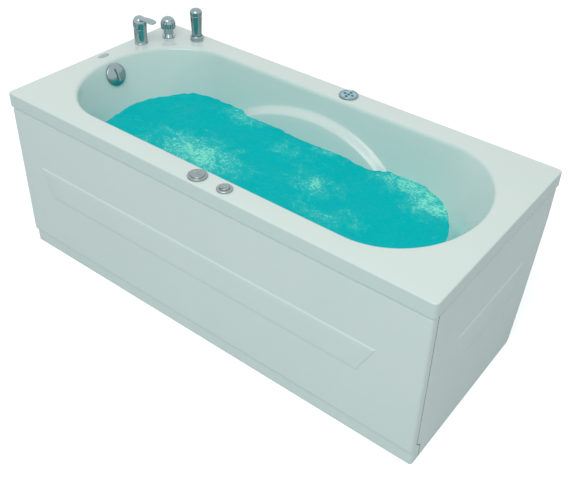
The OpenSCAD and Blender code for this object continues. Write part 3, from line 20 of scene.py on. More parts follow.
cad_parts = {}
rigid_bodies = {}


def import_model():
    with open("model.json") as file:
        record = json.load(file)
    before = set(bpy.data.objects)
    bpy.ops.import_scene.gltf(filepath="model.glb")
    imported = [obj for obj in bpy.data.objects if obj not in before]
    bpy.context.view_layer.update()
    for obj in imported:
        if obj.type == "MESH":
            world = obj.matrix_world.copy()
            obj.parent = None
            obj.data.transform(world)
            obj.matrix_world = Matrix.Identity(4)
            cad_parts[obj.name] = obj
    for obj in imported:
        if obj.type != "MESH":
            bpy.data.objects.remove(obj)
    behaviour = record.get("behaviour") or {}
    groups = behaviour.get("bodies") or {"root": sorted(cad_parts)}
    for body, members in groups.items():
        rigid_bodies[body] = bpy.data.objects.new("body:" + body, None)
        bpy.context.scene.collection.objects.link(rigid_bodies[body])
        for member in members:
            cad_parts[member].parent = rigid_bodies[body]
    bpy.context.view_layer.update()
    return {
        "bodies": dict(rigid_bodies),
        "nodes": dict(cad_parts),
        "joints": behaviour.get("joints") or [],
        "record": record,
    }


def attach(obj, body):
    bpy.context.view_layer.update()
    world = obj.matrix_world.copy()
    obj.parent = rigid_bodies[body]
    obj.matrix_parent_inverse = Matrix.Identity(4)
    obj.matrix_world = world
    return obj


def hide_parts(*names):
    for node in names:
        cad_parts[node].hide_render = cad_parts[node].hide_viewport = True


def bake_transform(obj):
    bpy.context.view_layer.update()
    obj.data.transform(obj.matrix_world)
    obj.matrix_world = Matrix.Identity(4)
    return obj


Object = bpy.types.Object
Socket = bpy.types.NodeSocket
Triple = tuple[float, float, float]
Pair = tuple[float, float]
Skin = tuple[list[Triple], list[tuple[int, ...]]]

LOG = logging.getLogger("bathtub")
TUB = "tub"
WHITE = (1.0, 1.0, 1.0, 1.0)
MM = 0.001
# Angle between two faces, in degrees, over which their edge is drawn sharp
SHARP = 34.0
# Height of the rim, and the places of the fittings on it
RIM = 570.0
MIXER = (-705.0, 163.0)
DIVERTER = (-670.0, 260.0)
SHOWER = (-578.0, 305.0)
DECK_Y = 314.5
PAD_X = 56.0
AIR_X = 5.0
BUTTON_X = 100.0
# Middle of the overflow on the foot wall, and the lean of its axis from upright
OVERFLOW = (-663.054, 0.0, 524.0)
OVERFLOW_LEAN = math.radians(70)


def srgb(code: str) -> tuple[float, float, float, float]:
    """Linear colour of an sRGB hex code.

    Args:
        code: colour as "#RRGGBB".

    Returns:
        Linear red, green, blue and an alpha of 1.
    """
    parts = [int(code[i:i + 2], 16) / 255 for i in (1, 3, 5)]
    linear = [c / 12.92 if c <= 0.04045 else ((c + 0.055) / 1.055) ** 2.4 for c in parts]
    return linear[0], linear[1], linear[2], 1.0


def add_node(tree: bpy.types.NodeTree, kind: str, settings: dict | None = None,
             inputs: dict | None = None) -> bpy.types.Node:
    """Adds one node with its settings, values and links.

    Args:
        tree: node tree that gets the node.
        kind: Blender's type name of the node, without the ShaderNode in front.
        settings: attributes of the node.
        inputs: socket name or index to a value, or to the output socket that feeds it.

    Returns:
        The new node.
    """
    node = tree.nodes.new(f"ShaderNode{kind}")
    for name, value in (settings or {}).items():
        setattr(node, name, value)
    for name, value in (inputs or {}).items():
        if isinstance(value, Socket):
            tree.links.new(value, node.inputs[name])
        else:
            node.inputs[name].default_value = value
    return node


def empty_tree(owner: bpy.types.Material | bpy.types.World) -> bpy.types.NodeTree:
    """Switches on the nodes of a material or a world, and takes out those it comes with.

    Args:
        owner: the material or world.

    Returns:
        Its empty node tree.
    """
    owner.use_nodes = True
    owner.node_tree.nodes.clear()
    return owner.node_tree


class Pattern(Enum):
    """How a finish varies over its surface."""

    SHEET = "glossy formed sheet"
    PLATED = "plated metal"
    MOULDED = "moulded plastic"
    FLAKES = "pressed wood flakes"
    SPANGLE = "hot-dip zinc crystals"
    STRAND = "chopped glass strands"
    BRAID = "crossed wire braid"
    POWDER = "baked powder coat"
    TURNED = "lathe marks"
    TRACES = "copper traces under lacquer"


@dataclass(frozen=True)
class Finish:
    """One real finish: its colours, gloss and the size of its pattern in millimetres."""

    name: str
    base: str
    second: str
    pattern: Pattern
    grain: float
    rough: Pair
    metallic: float = 0.0
    ior: float = 1.5
    bump: float = 0.05
    coat: float = 0.0
    contrast: float = 1.0
    # Painted shade, with a tinge of painted reflection of the water: a deeper, more turquoise tone
    # on faces that turn from upright and deep in the basin
    painted_shade: str = ""
    painted_shade_slope: Pair = (0.97, 0.60)
    painted_shade_depth: Pair = (120.0, 150.0)
    # Size of the marks of wear in the gloss, and the part of their noise that spans the roughness
    wear: float = 38.0
    wear_span: Pair = (0.35, 0.65)
    # Size of the slow change of tone
    broad: float = 260.0
    coat_rough: float = 0.08

    def material(self) -> bpy.types.Material:
        """The finish as a node material, made once.

        Returns:
            The material.
        """
        found = bpy.data.materials.get(self.name)
        if found is not None:
            return found
        made = bpy.data.materials.new(self.name)
        tree = empty_tree(made)
        where = add_node(tree, "TexCoord")
        mask, height = self._pattern(tree, where)
        share = add_node(tree, "Math", {"operation": "MULTIPLY"}, {0: mask, 1: self.contrast})
        colour = add_node(tree, "Mix", {"data_type": "RGBA"}, {
            0: share.outputs[0], 6: srgb(self.base), 7: srgb(self.second)})
        # Painted shade: a deeper tone mixed in on sideways faces and in the basin's depth
        if self.painted_shade:
            colour = add_node(tree, "Mix", {"data_type": "RGBA"}, {
                0: self._painted_shade_share(tree, where), 6: colour.outputs[2], 7: srgb(self.painted_shade)})
        wear = add_node(tree, "TexNoise", None, {
            "Vector": where.outputs["Object"], "Scale": 1000 / self.wear, "Detail": 4.0})
        rough = add_node(tree, "MapRange", None, {
            "Value": wear.outputs["Fac"], "From Min": self.wear_span[0],
            "From Max": self.wear_span[1], "To Min": self.rough[0], "To Max": self.rough[1]})
        bump = add_node(tree, "Bump", None, {
            "Strength": 1.0, "Distance": self.bump * MM, "Height": height})
        shader = add_node(tree, "BsdfPrincipled", None, {
            "Base Color": colour.outputs[2], "Roughness": rough.outputs["Result"],
            "Normal": bump.outputs["Normal"], "Metallic": self.metallic, "IOR": self.ior,
            "Coat Weight": self.coat, "Coat Roughness": self.coat_rough})
        add_node(tree, "OutputMaterial", None, {"Surface": shader.outputs["BSDF"]})
        made.diffuse_color = srgb(self.base)
        return made

    def _painted_shade_share(self, tree: bpy.types.NodeTree, where: bpy.types.Node) -> Socket:
        """Share of the painted shade: on faces that turn from upright, and everywhere in the depth.

        Args:
            tree: node tree of the material.
            where: its texture coordinates.

        Returns:
            Share of the painted shade's tone.
        """
        place = add_node(tree, "SeparateXYZ", None, {0: where.outputs["Object"]})
        facing = add_node(tree, "SeparateXYZ", None, {
            0: add_node(tree, "NewGeometry").outputs["Normal"]})
        shares = []
        for value, (start, end) in ((facing, self.painted_shade_slope),
                                    (place, [(RIM - d) * MM for d in self.painted_shade_depth])):
            shares.append(add_node(tree, "MapRange", None, {
                "Value": value.outputs["Z"], "From Min": start, "From Max": end}))
        return add_node(tree, "Math", {"operation": "MAXIMUM"}, {
            0: shares[0].outputs["Result"], 1: shares[1].outputs["Result"]}).outputs[0]

    def _pattern(self, tree: bpy.types.NodeTree, where: bpy.types.Node) -> tuple[Socket, Socket]:
        """Colour mask and height of the finish.

        Args:
            tree: node tree of the material.
            where: its texture coordinates.

        Returns:
            The output sockets for the colour mask and for the bump's height.
        """
        place = where.outputs["Object"]
        scale = 1000 / self.grain
        if self.pattern in (Pattern.SPANGLE, Pattern.FLAKES):
            cell = add_node(tree, "TexVoronoi", {"feature": "F1"}, {
                "Vector": place, "Scale": scale, "Randomness": 1.0})
            tone = add_node(tree, "SeparateColor", None, {0: cell.outputs["Color"]}).outputs[0]
            if self.pattern is Pattern.SPANGLE:
                return tone, cell.outputs["Distance"]
            fine = add_node(tree, "TexNoise", None, {
                "Vector": place, "Scale": scale * 3, "Detail": 6.0}).outputs["Fac"]
            both = add_node(tree, "Math", {"operation": "MULTIPLY"}, {0: tone, 1: fine})
            return both.outputs[0], fine
        if self.pattern in (Pattern.STRAND, Pattern.BRAID):
            one, two = self._lays(tree, where)
            both = add_node(tree, "Math", {"operation": "MAXIMUM"}, {0: one, 1: two}).outputs[0]
            return both, both
        if self.pattern is Pattern.TURNED:
            rings = add_node(tree, "TexWave", {"wave_type": "BANDS", "bands_direction": "Y"}, {
                "Vector": place, "Scale": 314 / self.grain, "Distortion": 1.5}).outputs["Fac"]
            return rings, rings
        if self.pattern is Pattern.TRACES:
            edge = add_node(tree, "TexVoronoi", {"feature": "DISTANCE_TO_EDGE"}, {
                "Vector": place, "Scale": scale})
            line = add_node(tree, "Math", {"operation": "LESS_THAN"}, {
                0: edge.outputs["Distance"], 1: 0.08}).outputs[0]
            return line, line
        detail = {Pattern.SHEET: 1.0, Pattern.PLATED: 2.0, Pattern.MOULDED: 5.0,
                  Pattern.POWDER: 1.0}[self.pattern]
        broad, grain = (add_node(tree, "TexNoise", None, {
            "Vector": place, "Scale": 1000 / size, "Detail": d}).outputs["Fac"]
            for size, d in ((self.broad, 2.0), (self.grain, detail)))
        return broad, grain

    def _lays(self, tree: bpy.types.NodeTree, where: bpy.types.Node) -> list[Socket]:
        """The two crossing lays: strewn glass strands, or wires along the tube's coordinates.

        Args:
            tree: node tree of the material.
            where: its texture coordinates.

        Returns:
            Height of each lay.
        """
        heights = []
        for stretch, turn, twist in (((1.0, 6.0, 2.0), (0.4, 0.3, 0.8), 0.7),
                                     ((6.0, 1.0, 2.0), (0.2, 0.5, -0.5), -0.7)):
            if self.pattern is Pattern.STRAND:
                lay = add_node(tree, "Mapping", None, {
                    "Vector": where.outputs["Object"], "Scale": stretch, "Rotation": turn})
                height = add_node(tree, "TexNoise", None, {
                    "Vector": lay.outputs[0], "Scale": 1000 / self.grain, "Detail": 3.0})
            else:
                # The wave texture's bands are 0.314 / scale apart
                lay = add_node(tree, "Mapping", None, {
                    "Vector": where.outputs["UV"], "Rotation": (0.0, 0.0, twist)})
                height = add_node(tree, "TexWave", {"wave_type": "BANDS"}, {
                    "Vector": lay.outputs[0], "Scale": 314 / self.grain})
            heights.append(height.outputs["Fac"])
        return heights


# Cast sanitary acrylic, vacuum-formed and polished: a deep wet gloss over a faint green-white,
# with the slow ripple of a formed sheet, and a painted shade on its sideways faces and in the depth
ACRYLIC = Finish("sanitary_acrylic_vacuum_formed", "#E2EEE8", "#DAE9E3", Pattern.SHEET, 90.0,
                 (0.16, 0.24), ior=1.49, bump=0.10, coat=0.25, painted_shade="#CCE0DB")
# The panels' thinner acrylic sheet, satin from its mould
APRON = Finish("apron_acrylic_satin_sheet", "#D8E8E5", "#D2E3E0", Pattern.SHEET, 110.0,
               (0.30, 0.38), ior=1.49, bump=0.12)
# Glass strands sprayed with polyester on the shell's hidden side: rough and straw-white
LAMINATE = Finish("glass_fibre_laminate_sprayed", "#D9D5C2", "#BFB795", Pattern.STRAND, 16.0,
                  (0.45, 0.70), ior=1.53, bump=0.9, contrast=0.9)
# Chipboard with visible flakes, drawn at the 5 mm of its coarse core
CHIPBOARD = Finish("chipboard_raw", "#C9A77A", "#7E5B36", Pattern.FLAKES, 5.0, (0.75, 0.92),
                   bump=0.25, contrast=1.3)
# Hot-dip galvanised tube: crystals about 12 mm across, dull silver
GALVANISED = Finish("galvanised_steel_hot_dip", "#A9AFB3", "#858C91", Pattern.SPANGLE, 12.0,
                    (0.34, 0.52), metallic=1.0, bump=0.03)
# Zinc-plated hardware: brighter and smoother than the tubes
ZINC = Finish("zinc_plated_steel_bright", "#BCC1C3", "#A3A8A6", Pattern.PLATED, 6.0,
              (0.22, 0.34), metallic=1.0, bump=0.01)
# Moulded rubber of the feet: black and dull
RUBBER = Finish("rubber_moulded_black", "#232527", "#2E3032", Pattern.MOULDED, 1.5,
                (0.65, 0.80), ior=1.52, bump=0.05)
# Polished brass under bright chrome: a mirror that takes the colours round it, its grey tinted
# turquoise as painted reflection of the water
CHROME = Finish("brass_chrome_plated_polished", "#A3B5B8", "#94A7AB", Pattern.PLATED, 30.0,
                (0.07, 0.13), metallic=1.0, bump=0.01)
# Chromed ABS: the same mirror with the slight haze of a moulding, and the same painted turquoise
# reflection in its grey
CHROMED_ABS = Finish("abs_chrome_plated", "#9CAFB2", "#8C9FA3", Pattern.PLATED, 22.0,
                     (0.14, 0.22), metallic=1.0, bump=0.015)
# The same moulding with a duller, darker plating, as on the rim's controls, its grey also tinted by
# painted reflection
DULL_CHROME = Finish("abs_satin_chrome_plated", "#A2ADAE", "#929D9F", Pattern.PLATED, 16.0,
                     (0.18, 0.28), metallic=1.0, bump=0.012)
# White PVC pipe and fittings: smooth, faintly yellow, half gloss
PVC = Finish("pvc_white_extruded", "#E4E6E2", "#D9DBD4", Pattern.MOULDED, 3.0, (0.32, 0.45),
             ior=1.53, bump=0.02)
# Soft PVC jacket of the cables
JACKET = Finish("pvc_cable_jacket_black", "#25282A", "#303437", Pattern.MOULDED, 2.0,
                (0.48, 0.60), ior=1.52, bump=0.03)
# Glass-filled nylon of pump and cartridge: black with a fine grain
NYLON = Finish("nylon_glass_filled_black", "#2B2E31", "#3A3E42", Pattern.MOULDED, 1.2,
               (0.42, 0.58), ior=1.53, bump=0.04)
# Bare turned brass of the mixer's stem
BRASS = Finish("brass_turned", "#C9A765", "#B08E4C", Pattern.TURNED, 1.2, (0.22, 0.34),
               metallic=1.0, bump=0.01)
# Stainless wire braid: strands 2.5 mm apart, drawn a little coarser than real to show
BRAID = Finish("stainless_wire_braid", "#6E7376", "#D3D7D9", Pattern.BRAID, 2.5, (0.28, 0.40),
               metallic=1.0, bump=0.25)
# Clear soft PVC of the air button's tube, seen as a milky white
CLEAR_TUBE = Finish("pvc_tube_translucent", "#DCE5E4", "#CBD7D6", Pattern.MOULDED, 4.0,
                    (0.18, 0.28), ior=1.52, bump=0.01, coat=0.3)
# Satin chromed bezel of the keypad, its grey tinted turquoise by painted reflection
BEZEL = Finish("abs_satin_chrome_bezel", "#93A5A8", "#7F9296", Pattern.PLATED, 14.0,
               (0.20, 0.30), metallic=0.9, bump=0.01)
# Lacquered circuit board
BOARD = Finish("circuit_board_lacquered", "#1F5C3D", "#2F7A52", Pattern.TRACES, 4.0,
               (0.28, 0.36), ior=1.55, bump=0.03)
# Silicone-soft key caps: slate, matt
KEYS = Finish("silicone_key_slate", "#2C5A68", "#356674", Pattern.MOULDED, 0.8, (0.42, 0.55),
              ior=1.43, bump=0.02)
# Printed polyester film under the keys: pale blue, smooth and half matt
KEY_FILM = Finish("polyester_key_film_pale_blue", "#A5D0DC", "#99C6D4", Pattern.SHEET, 8.0,
                  (0.30, 0.40), ior=1.57, bump=0.01)
# Light grey polycarbonate of the control box with a spark-eroded grain
BOX = Finish("polycarbonate_grained_grey", "#CDD2D4", "#C2C8CA", Pattern.MOULDED, 0.9,
             (0.50, 0.62), ior=1.58, bump=0.05)
# Powder-coated motor housing, dark grey with a slight orange peel
MOTOR = Finish("powder_coat_dark_grey", "#454B50", "#3B4146", Pattern.POWDER, 2.2,
               (0.38, 0.50), bump=0.06, coat=0.1)
# Ground steel shaft and turned rotor
ROTOR = Finish("steel_turned", "#9CA1A5", "#84898D", Pattern.TURNED, 1.5, (0.25, 0.38),
               metallic=1.0, bump=0.01)
# Enamelled oval plate on the deck: pale and glossy
PLATE = Finish("enamelled_plate_pale", "#9DB4BA", "#A9BEC3", Pattern.SHEET, 12.0, (0.12, 0.20),
               bump=0.01, coat=0.4)

# The finish of every CAD node that keeps its own shape
NODE_FINISHES: dict[Finish, tuple[str, ...]] = {
    ACRYLIC: ("tub_shell",),
    APRON: ("front_panel", "end_panel"),
    CHIPBOARD: ("support_boards",),
    GALVANISED: ("frame_rails", "frame_crossbars", "frame_posts", "panel_brackets"),
    ZINC: ("foot_studs", "foot_nuts", "panel_screws", "deck_nuts"),
    RUBBER: ("foot_pads",),
    CHROME: ("waste_plug", "mixer_body", "mixer_handle", "diverter_body", "diverter_knob",
             "handset_holder"),
    CHROMED_ABS: ("waste_body", "overflow_knob", "handset", "jet_flanges", "suction_fitting",
                  *(f"jet_nozzle_{i}" for i in range(1, 7))),
    DULL_CHROME: ("air_knob", "push_button", "button_body"),
    PVC: ("waste_trap", "overflow_body", "overflow_pipe", "air_valve", "jet_bodies",
          "water_manifold", "air_manifold", "suction_pipe"),
    CLEAR_TUBE: ("button_tube",),
    JACKET: ("plug_cable", "control_cables"),
    NYLON: ("mixer_cartridge", "pump_volute"),
    BRASS: ("mixer_stem",),
    BRAID: ("shower_hose", "mixer_hose", "filler_hose"),
    BEZEL: ("pad_bezel",),
    BOARD: ("pad_board",),
    KEYS: tuple(f"pad_button_{side}" for side in ("middle", "left", "right", "front", "back")),
    BOX: ("control_box",),
    MOTOR: ("motor_casing",),
    ROTOR: ("pump_rotor",),
}


def shade(mesh: bpy.types.Mesh, sharp: float) -> None:
    """Shades a mesh smooth, up to an angle between its faces in degrees."""
    mesh.shade_smooth()
    mesh.set_sharp_from_angle(angle=math.radians(sharp))


def mesh_object(name: str, skin: Skin, place: Matrix | None = None,
                sharp: float = SHARP) -> Object:
    """Makes a smooth-shaded object from points in millimetres, its faces turned outward.

    Args:
        name: the object's name.
        skin: points and faces.
        place: local frame of the points, in millimetres.
        sharp: angle between faces, in degrees, over which an edge is sharp.

    Returns:
        The new object, linked to the scene.
    """
    frame = place or Matrix.Identity(4)
    mesh = bpy.data.meshes.new(name)
    mesh.from_pydata([tuple(frame @ Vector(p) * MM) for p in skin[0]], [], skin[1])
    obj = bpy.data.objects.new(name, mesh)
    bpy.context.scene.collection.objects.link(obj)
    work = bmesh.new()
    work.from_mesh(mesh)
    bmesh.ops.recalc_face_normals(work, faces=work.faces)
    work.to_mesh(mesh)
    work.free()
    shade(mesh, sharp)
    mesh.update()
    return obj


def bake(obj: Object, sharp: float = SHARP) -> Object:
    """Applies the object's modifiers to its mesh.

    Args:
        obj: the object.
        sharp: angle for the sharp edges afterwards, in degrees.

    Returns:
        The same object.
    """
    graph = bpy.context.evaluated_depsgraph_get()
    mesh = bpy.data.meshes.new_from_object(obj.evaluated_get(graph))
    obj.modifiers.clear()
    obj.data = mesh
    shade(mesh, sharp)
    return obj


def combine(obj: Object, other: Object, operation: str, sharp: float = SHARP) -> Object:
    """Cuts or joins one mesh with another, which is used up.

    Args:
        obj: the mesh that stays.
        other: the tool or second body.
        operation: "DIFFERENCE", "UNION" or "INTERSECT".
        sharp: angle for the sharp edges afterwards, in degrees.

    Returns:
        The same object.
    """
    step = obj.modifiers.new("combine", "BOOLEAN")
    step.operation = operation
    step.solver = "EXACT"
    step.object = other
    bake(obj, sharp)
    bpy.data.objects.remove(other)
    return obj


def drill(obj: Object, place: Matrix, radius: float, reach: Pair, sides: int = 32,
          sharp: float = SHARP) -> None:
    """Bores a round hole along a place's own upright axis, between two heights."""
    combine(obj, mesh_object("drill", rod(radius, reach, sides), place), "DIFFERENCE", sharp)


def soften(obj: Object, width: float, angle: float = 40.0) -> Object:
    """Rounds an object's sharp edges.

    Args:
        obj: the object.
        width: width of the rounding in millimetres.
        angle: edges sharper than this many degrees are rounded.

    Returns:
        The same object.
    """
    step = obj.modifiers.new("soften", "BEVEL")
    step.width = width * MM
    step.segments = 3
    step.limit_method = "ANGLE"
    step.angle_limit = math.radians(angle)
    step.harden_normals = False
    return bake(obj, 30.0)


def dress(obj: Object, finish: Finish, body: str, nodes: Sequence[str] = ()) -> Object:
    """Gives a piece its finish and its place in the frame.

    Args:
        obj: the piece.
        finish: its finish.
        body: CAD body that it rides on.
        nodes: CAD nodes that it replaces.

    Returns:
        The same object.
    """
    if not obj.data.materials:
        obj.data.materials.append(finish.material())
    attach(obj, body)
    if nodes:
        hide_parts(*nodes)
    LOG.info("%s rides on %s", obj.name, body)
    return obj


def turned(corners: Sequence[Triple], steps: int = 5) -> list[Pair]:
    """Profile of a turned piece with rounded corners.

    Args:
        corners: radius, height and rounding at each corner.
        steps: number of steps in each rounding.

    Returns:
        Radius and height of each point.
    """
    line: list[Pair] = []
    for i, (r, z, rounding) in enumerate(corners):
        if rounding <= 0 or i in (0, len(corners) - 1):
            line.append((r, z))
            continue
        here = Vector((r, z))
        back = Vector(corners[i - 1][:2]) - here
        ahead = Vector(corners[i + 1][:2]) - here
        reach = min(rounding, back.length * 0.49, ahead.length * 0.49)
        start, end = here + back.normalized() * reach, here + ahead.normalized() * reach
        for k in range(steps + 1):
            t = k / steps
            p = start * (1 - t) ** 2 + here * 2 * t * (1 - t) + end * t ** 2
            line.append((p.x, p.y))
    return line


def round_angles(count: int) -> list[float]:
    """Angles of a full turn in equal steps."""
    return [2 * math.pi * k / count for k in range(count)]


def quarter_angles(steps: int) -> list[float]:
    """Angles from 0 to a right angle, both included."""
    return [math.radians(90 * k / steps) for k in range(steps + 1)]


def lathe(profile: Sequence[Pair], segments: int = 72, closed: bool = False,
          flute: tuple[int, float, float, float] | None = None) -> Skin:
    """Skin of a turned piece.

    Args:
        profile: radius and height of each point. A radius of 0 gives a pole.
        segments: steps round the axis.
        closed: the profile is a closed loop, as on a ring.
        flute: number of flutes, their depth and the heights between which they run.

    Returns:
        Points and faces.
    """
    points: list[Triple] = []
    rows: list[list[int]] = []
    for r, z in profile:
        if r < 1e-6:
            rows.append([len(points)])
            points.append((0.0, 0.0, z))
            continue
        row = []
        for a in round_angles(segments):
            out = r
            if flute and flute[2] <= z <= flute[3]:
                fade = min(1.0, (z - flute[2]) / 2.5, (flute[3] - z) / 6.0)
                out -= flute[1] * fade * (0.5 + 0.5 * math.cos(a * flute[0])) ** 2
            row.append(len(points))
            points.append((out * math.cos(a), out * math.sin(a), z))
        rows.append(row)
    faces: list[tuple[int, ...]] = []
    pairs = list(zip(rows, rows[1:])) + ([(rows[-1], rows[0])] if closed else [])
    for low, high in pairs:
        for k in range(segments):
            j = (k + 1) % segments
            if len(low) == 1 and len(high) > 1:
                faces.append((low[0], high[j], high[k]))
            elif len(high) == 1 and len(low) > 1:
                faces.append((low[k], low[j], high[0]))
            elif len(low) > 1:
                faces.append((low[k], low[j], high[j], high[k]))
    return points, faces


def loft(rings: Sequence[Sequence[Triple]]) -> Skin:
    """Closed skin through rings of equal length.

    Args:
        rings: the rings, from one end to the other.

    Returns:
        Points and faces.
    """
    n = len(rings[0])
    points = [p for ring in rings for p in ring]
    faces: list[tuple[int, ...]] = [tuple(range(n - 1, -1, -1))]
    for i in range(len(rings) - 1):
        for j in range(n):
            k = (j + 1) % n
            faces.append((i * n + j, i * n + k, (i + 1) * n + k, (i + 1) * n + j))
    faces.append(tuple(range((len(rings) - 1) * n, len(rings) * n)))
    return points, faces


def smooth_path(points: Sequence[Triple], steps: int) -> list[Vector]:
    """Smooth line through the points of a route.

    Args:
        points: points that the line passes, in millimetres.
        steps: steps between two of them.

    Returns:
        The line's points, in millimetres.
    """
    p = [Vector(q) for q in points]
    line: list[Vector] = []
    for i in range(len(p) - 1):
        a, b, c, d = p[max(i - 1, 0)], p[i], p[i + 1], p[min(i + 2, len(p) - 1)]
        for j in range(steps):
            t = j / steps
            line.append(0.5 * (2 * b + (c - a) * t + (2 * a - 5 * b + 4 * c - d) * t * t
                               + (3 * b - a - 3 * c + d) * t * t * t))
    line.append(p[-1])
    return line


def tube_object(name: str, line: Sequence[Vector], radius: float,
                sides: int = 20) -> Object:
    """Round tube along a line, with coordinates along and round it for a braid.

    Args:
        name: the object's name.
        line: middle line in millimetres.
        radius: radius in millimetres.
        sides: steps round the tube.

    Returns:
        The new object.
    """
    rings, along, run = [], [], 0.0
    side = Vector((1.0, 0.0, 0.0))
    for i, here in enumerate(line):
        ahead = (line[min(i + 1, len(line) - 1)] - line[max(i - 1, 0)]).normalized()
        side = (side - side.dot(ahead) * ahead).normalized()
        up = ahead.cross(side)
        rings.append([tuple(here + radius * (math.cos(a) * side + math.sin(a) * up))
                      for a in round_angles(sides)])
        run += (here - line[max(i - 1, 0)]).length
        along.append(run)
    obj = mesh_object(name, loft(rings))
    layer = obj.data.uv_layers.new(name="lay")
    step = 2 * math.pi * radius / sides
    for polygon in obj.data.polygons:
        ids = [obj.data.loops[k].vertex_index for k in polygon.loop_indices]
        wraps = {v % sides for v in ids} == {0, sides - 1}
        for k, v in zip(polygon.loop_indices, ids):
            turn = sides if wraps and v % sides == 0 else v % sides
            layer.data[k].uv = (along[v // sides] * MM, turn * step * MM)
    return obj


def rod(radius: float, reach: Pair, sides: int) -> Skin:
    """Skin of a plain round rod between two heights."""
    low, high = reach
    return lathe([(0, low), (radius, low), (radius, high), (0, high)], sides)


def turned_piece(name: str, corners: Sequence[Triple], place: Matrix, segments: int = 72,
                 steps: int = 5, closed: bool = False) -> Object:
    """Makes a turned piece from the corners of its profile, in its own local frame."""
    return mesh_object(name, lathe(turned(corners, steps), segments, closed), place)


def block(x: Pair, y: Pair, z: Pair) -> Skin:
    """Skin of a box between two places along each axis.

    Args:
        x: its two places along X.
        y: its two places along Y.
        z: its two heights.

    Returns:
        Points and faces.
    """
    points = [(u, v, w) for w in z for u, v in ((x[0], y[0]), (x[1], y[0]), (x[1], y[1]),
                                                (x[0], y[1]))]
    return points, [(0, 3, 2, 1), (4, 5, 6, 7), (0, 1, 5, 4), (1, 2, 6, 5), (2, 3, 7, 6),
                    (3, 0, 4, 7)]


def sheet_skin(rows: Sequence[Sequence[Triple]]) -> Skin:
    """Open skin through rows of equal length.

    Args:
        rows: the rows, from one edge to the other.

    Returns:
        Points and faces.
    """
    n = len(rows[0])
    faces = [(i * n + j, (i + 1) * n + j, (i + 1) * n + j + 1, i * n + j + 1)
             for i in range(len(rows) - 1) for j in range(n - 1)]
    return [p for row in rows for p in row], faces


def deck_place(x: float, y: float) -> Matrix:
    """Local frame on the deck's top at a place."""
    return Matrix.Translation((x, y, RIM))


def smooth_step(t: float) -> float:
    """Smooth rise from 0 to 1."""
    c = min(max(t, 0.0), 1.0)
    return c * c * (3 - 2 * c)


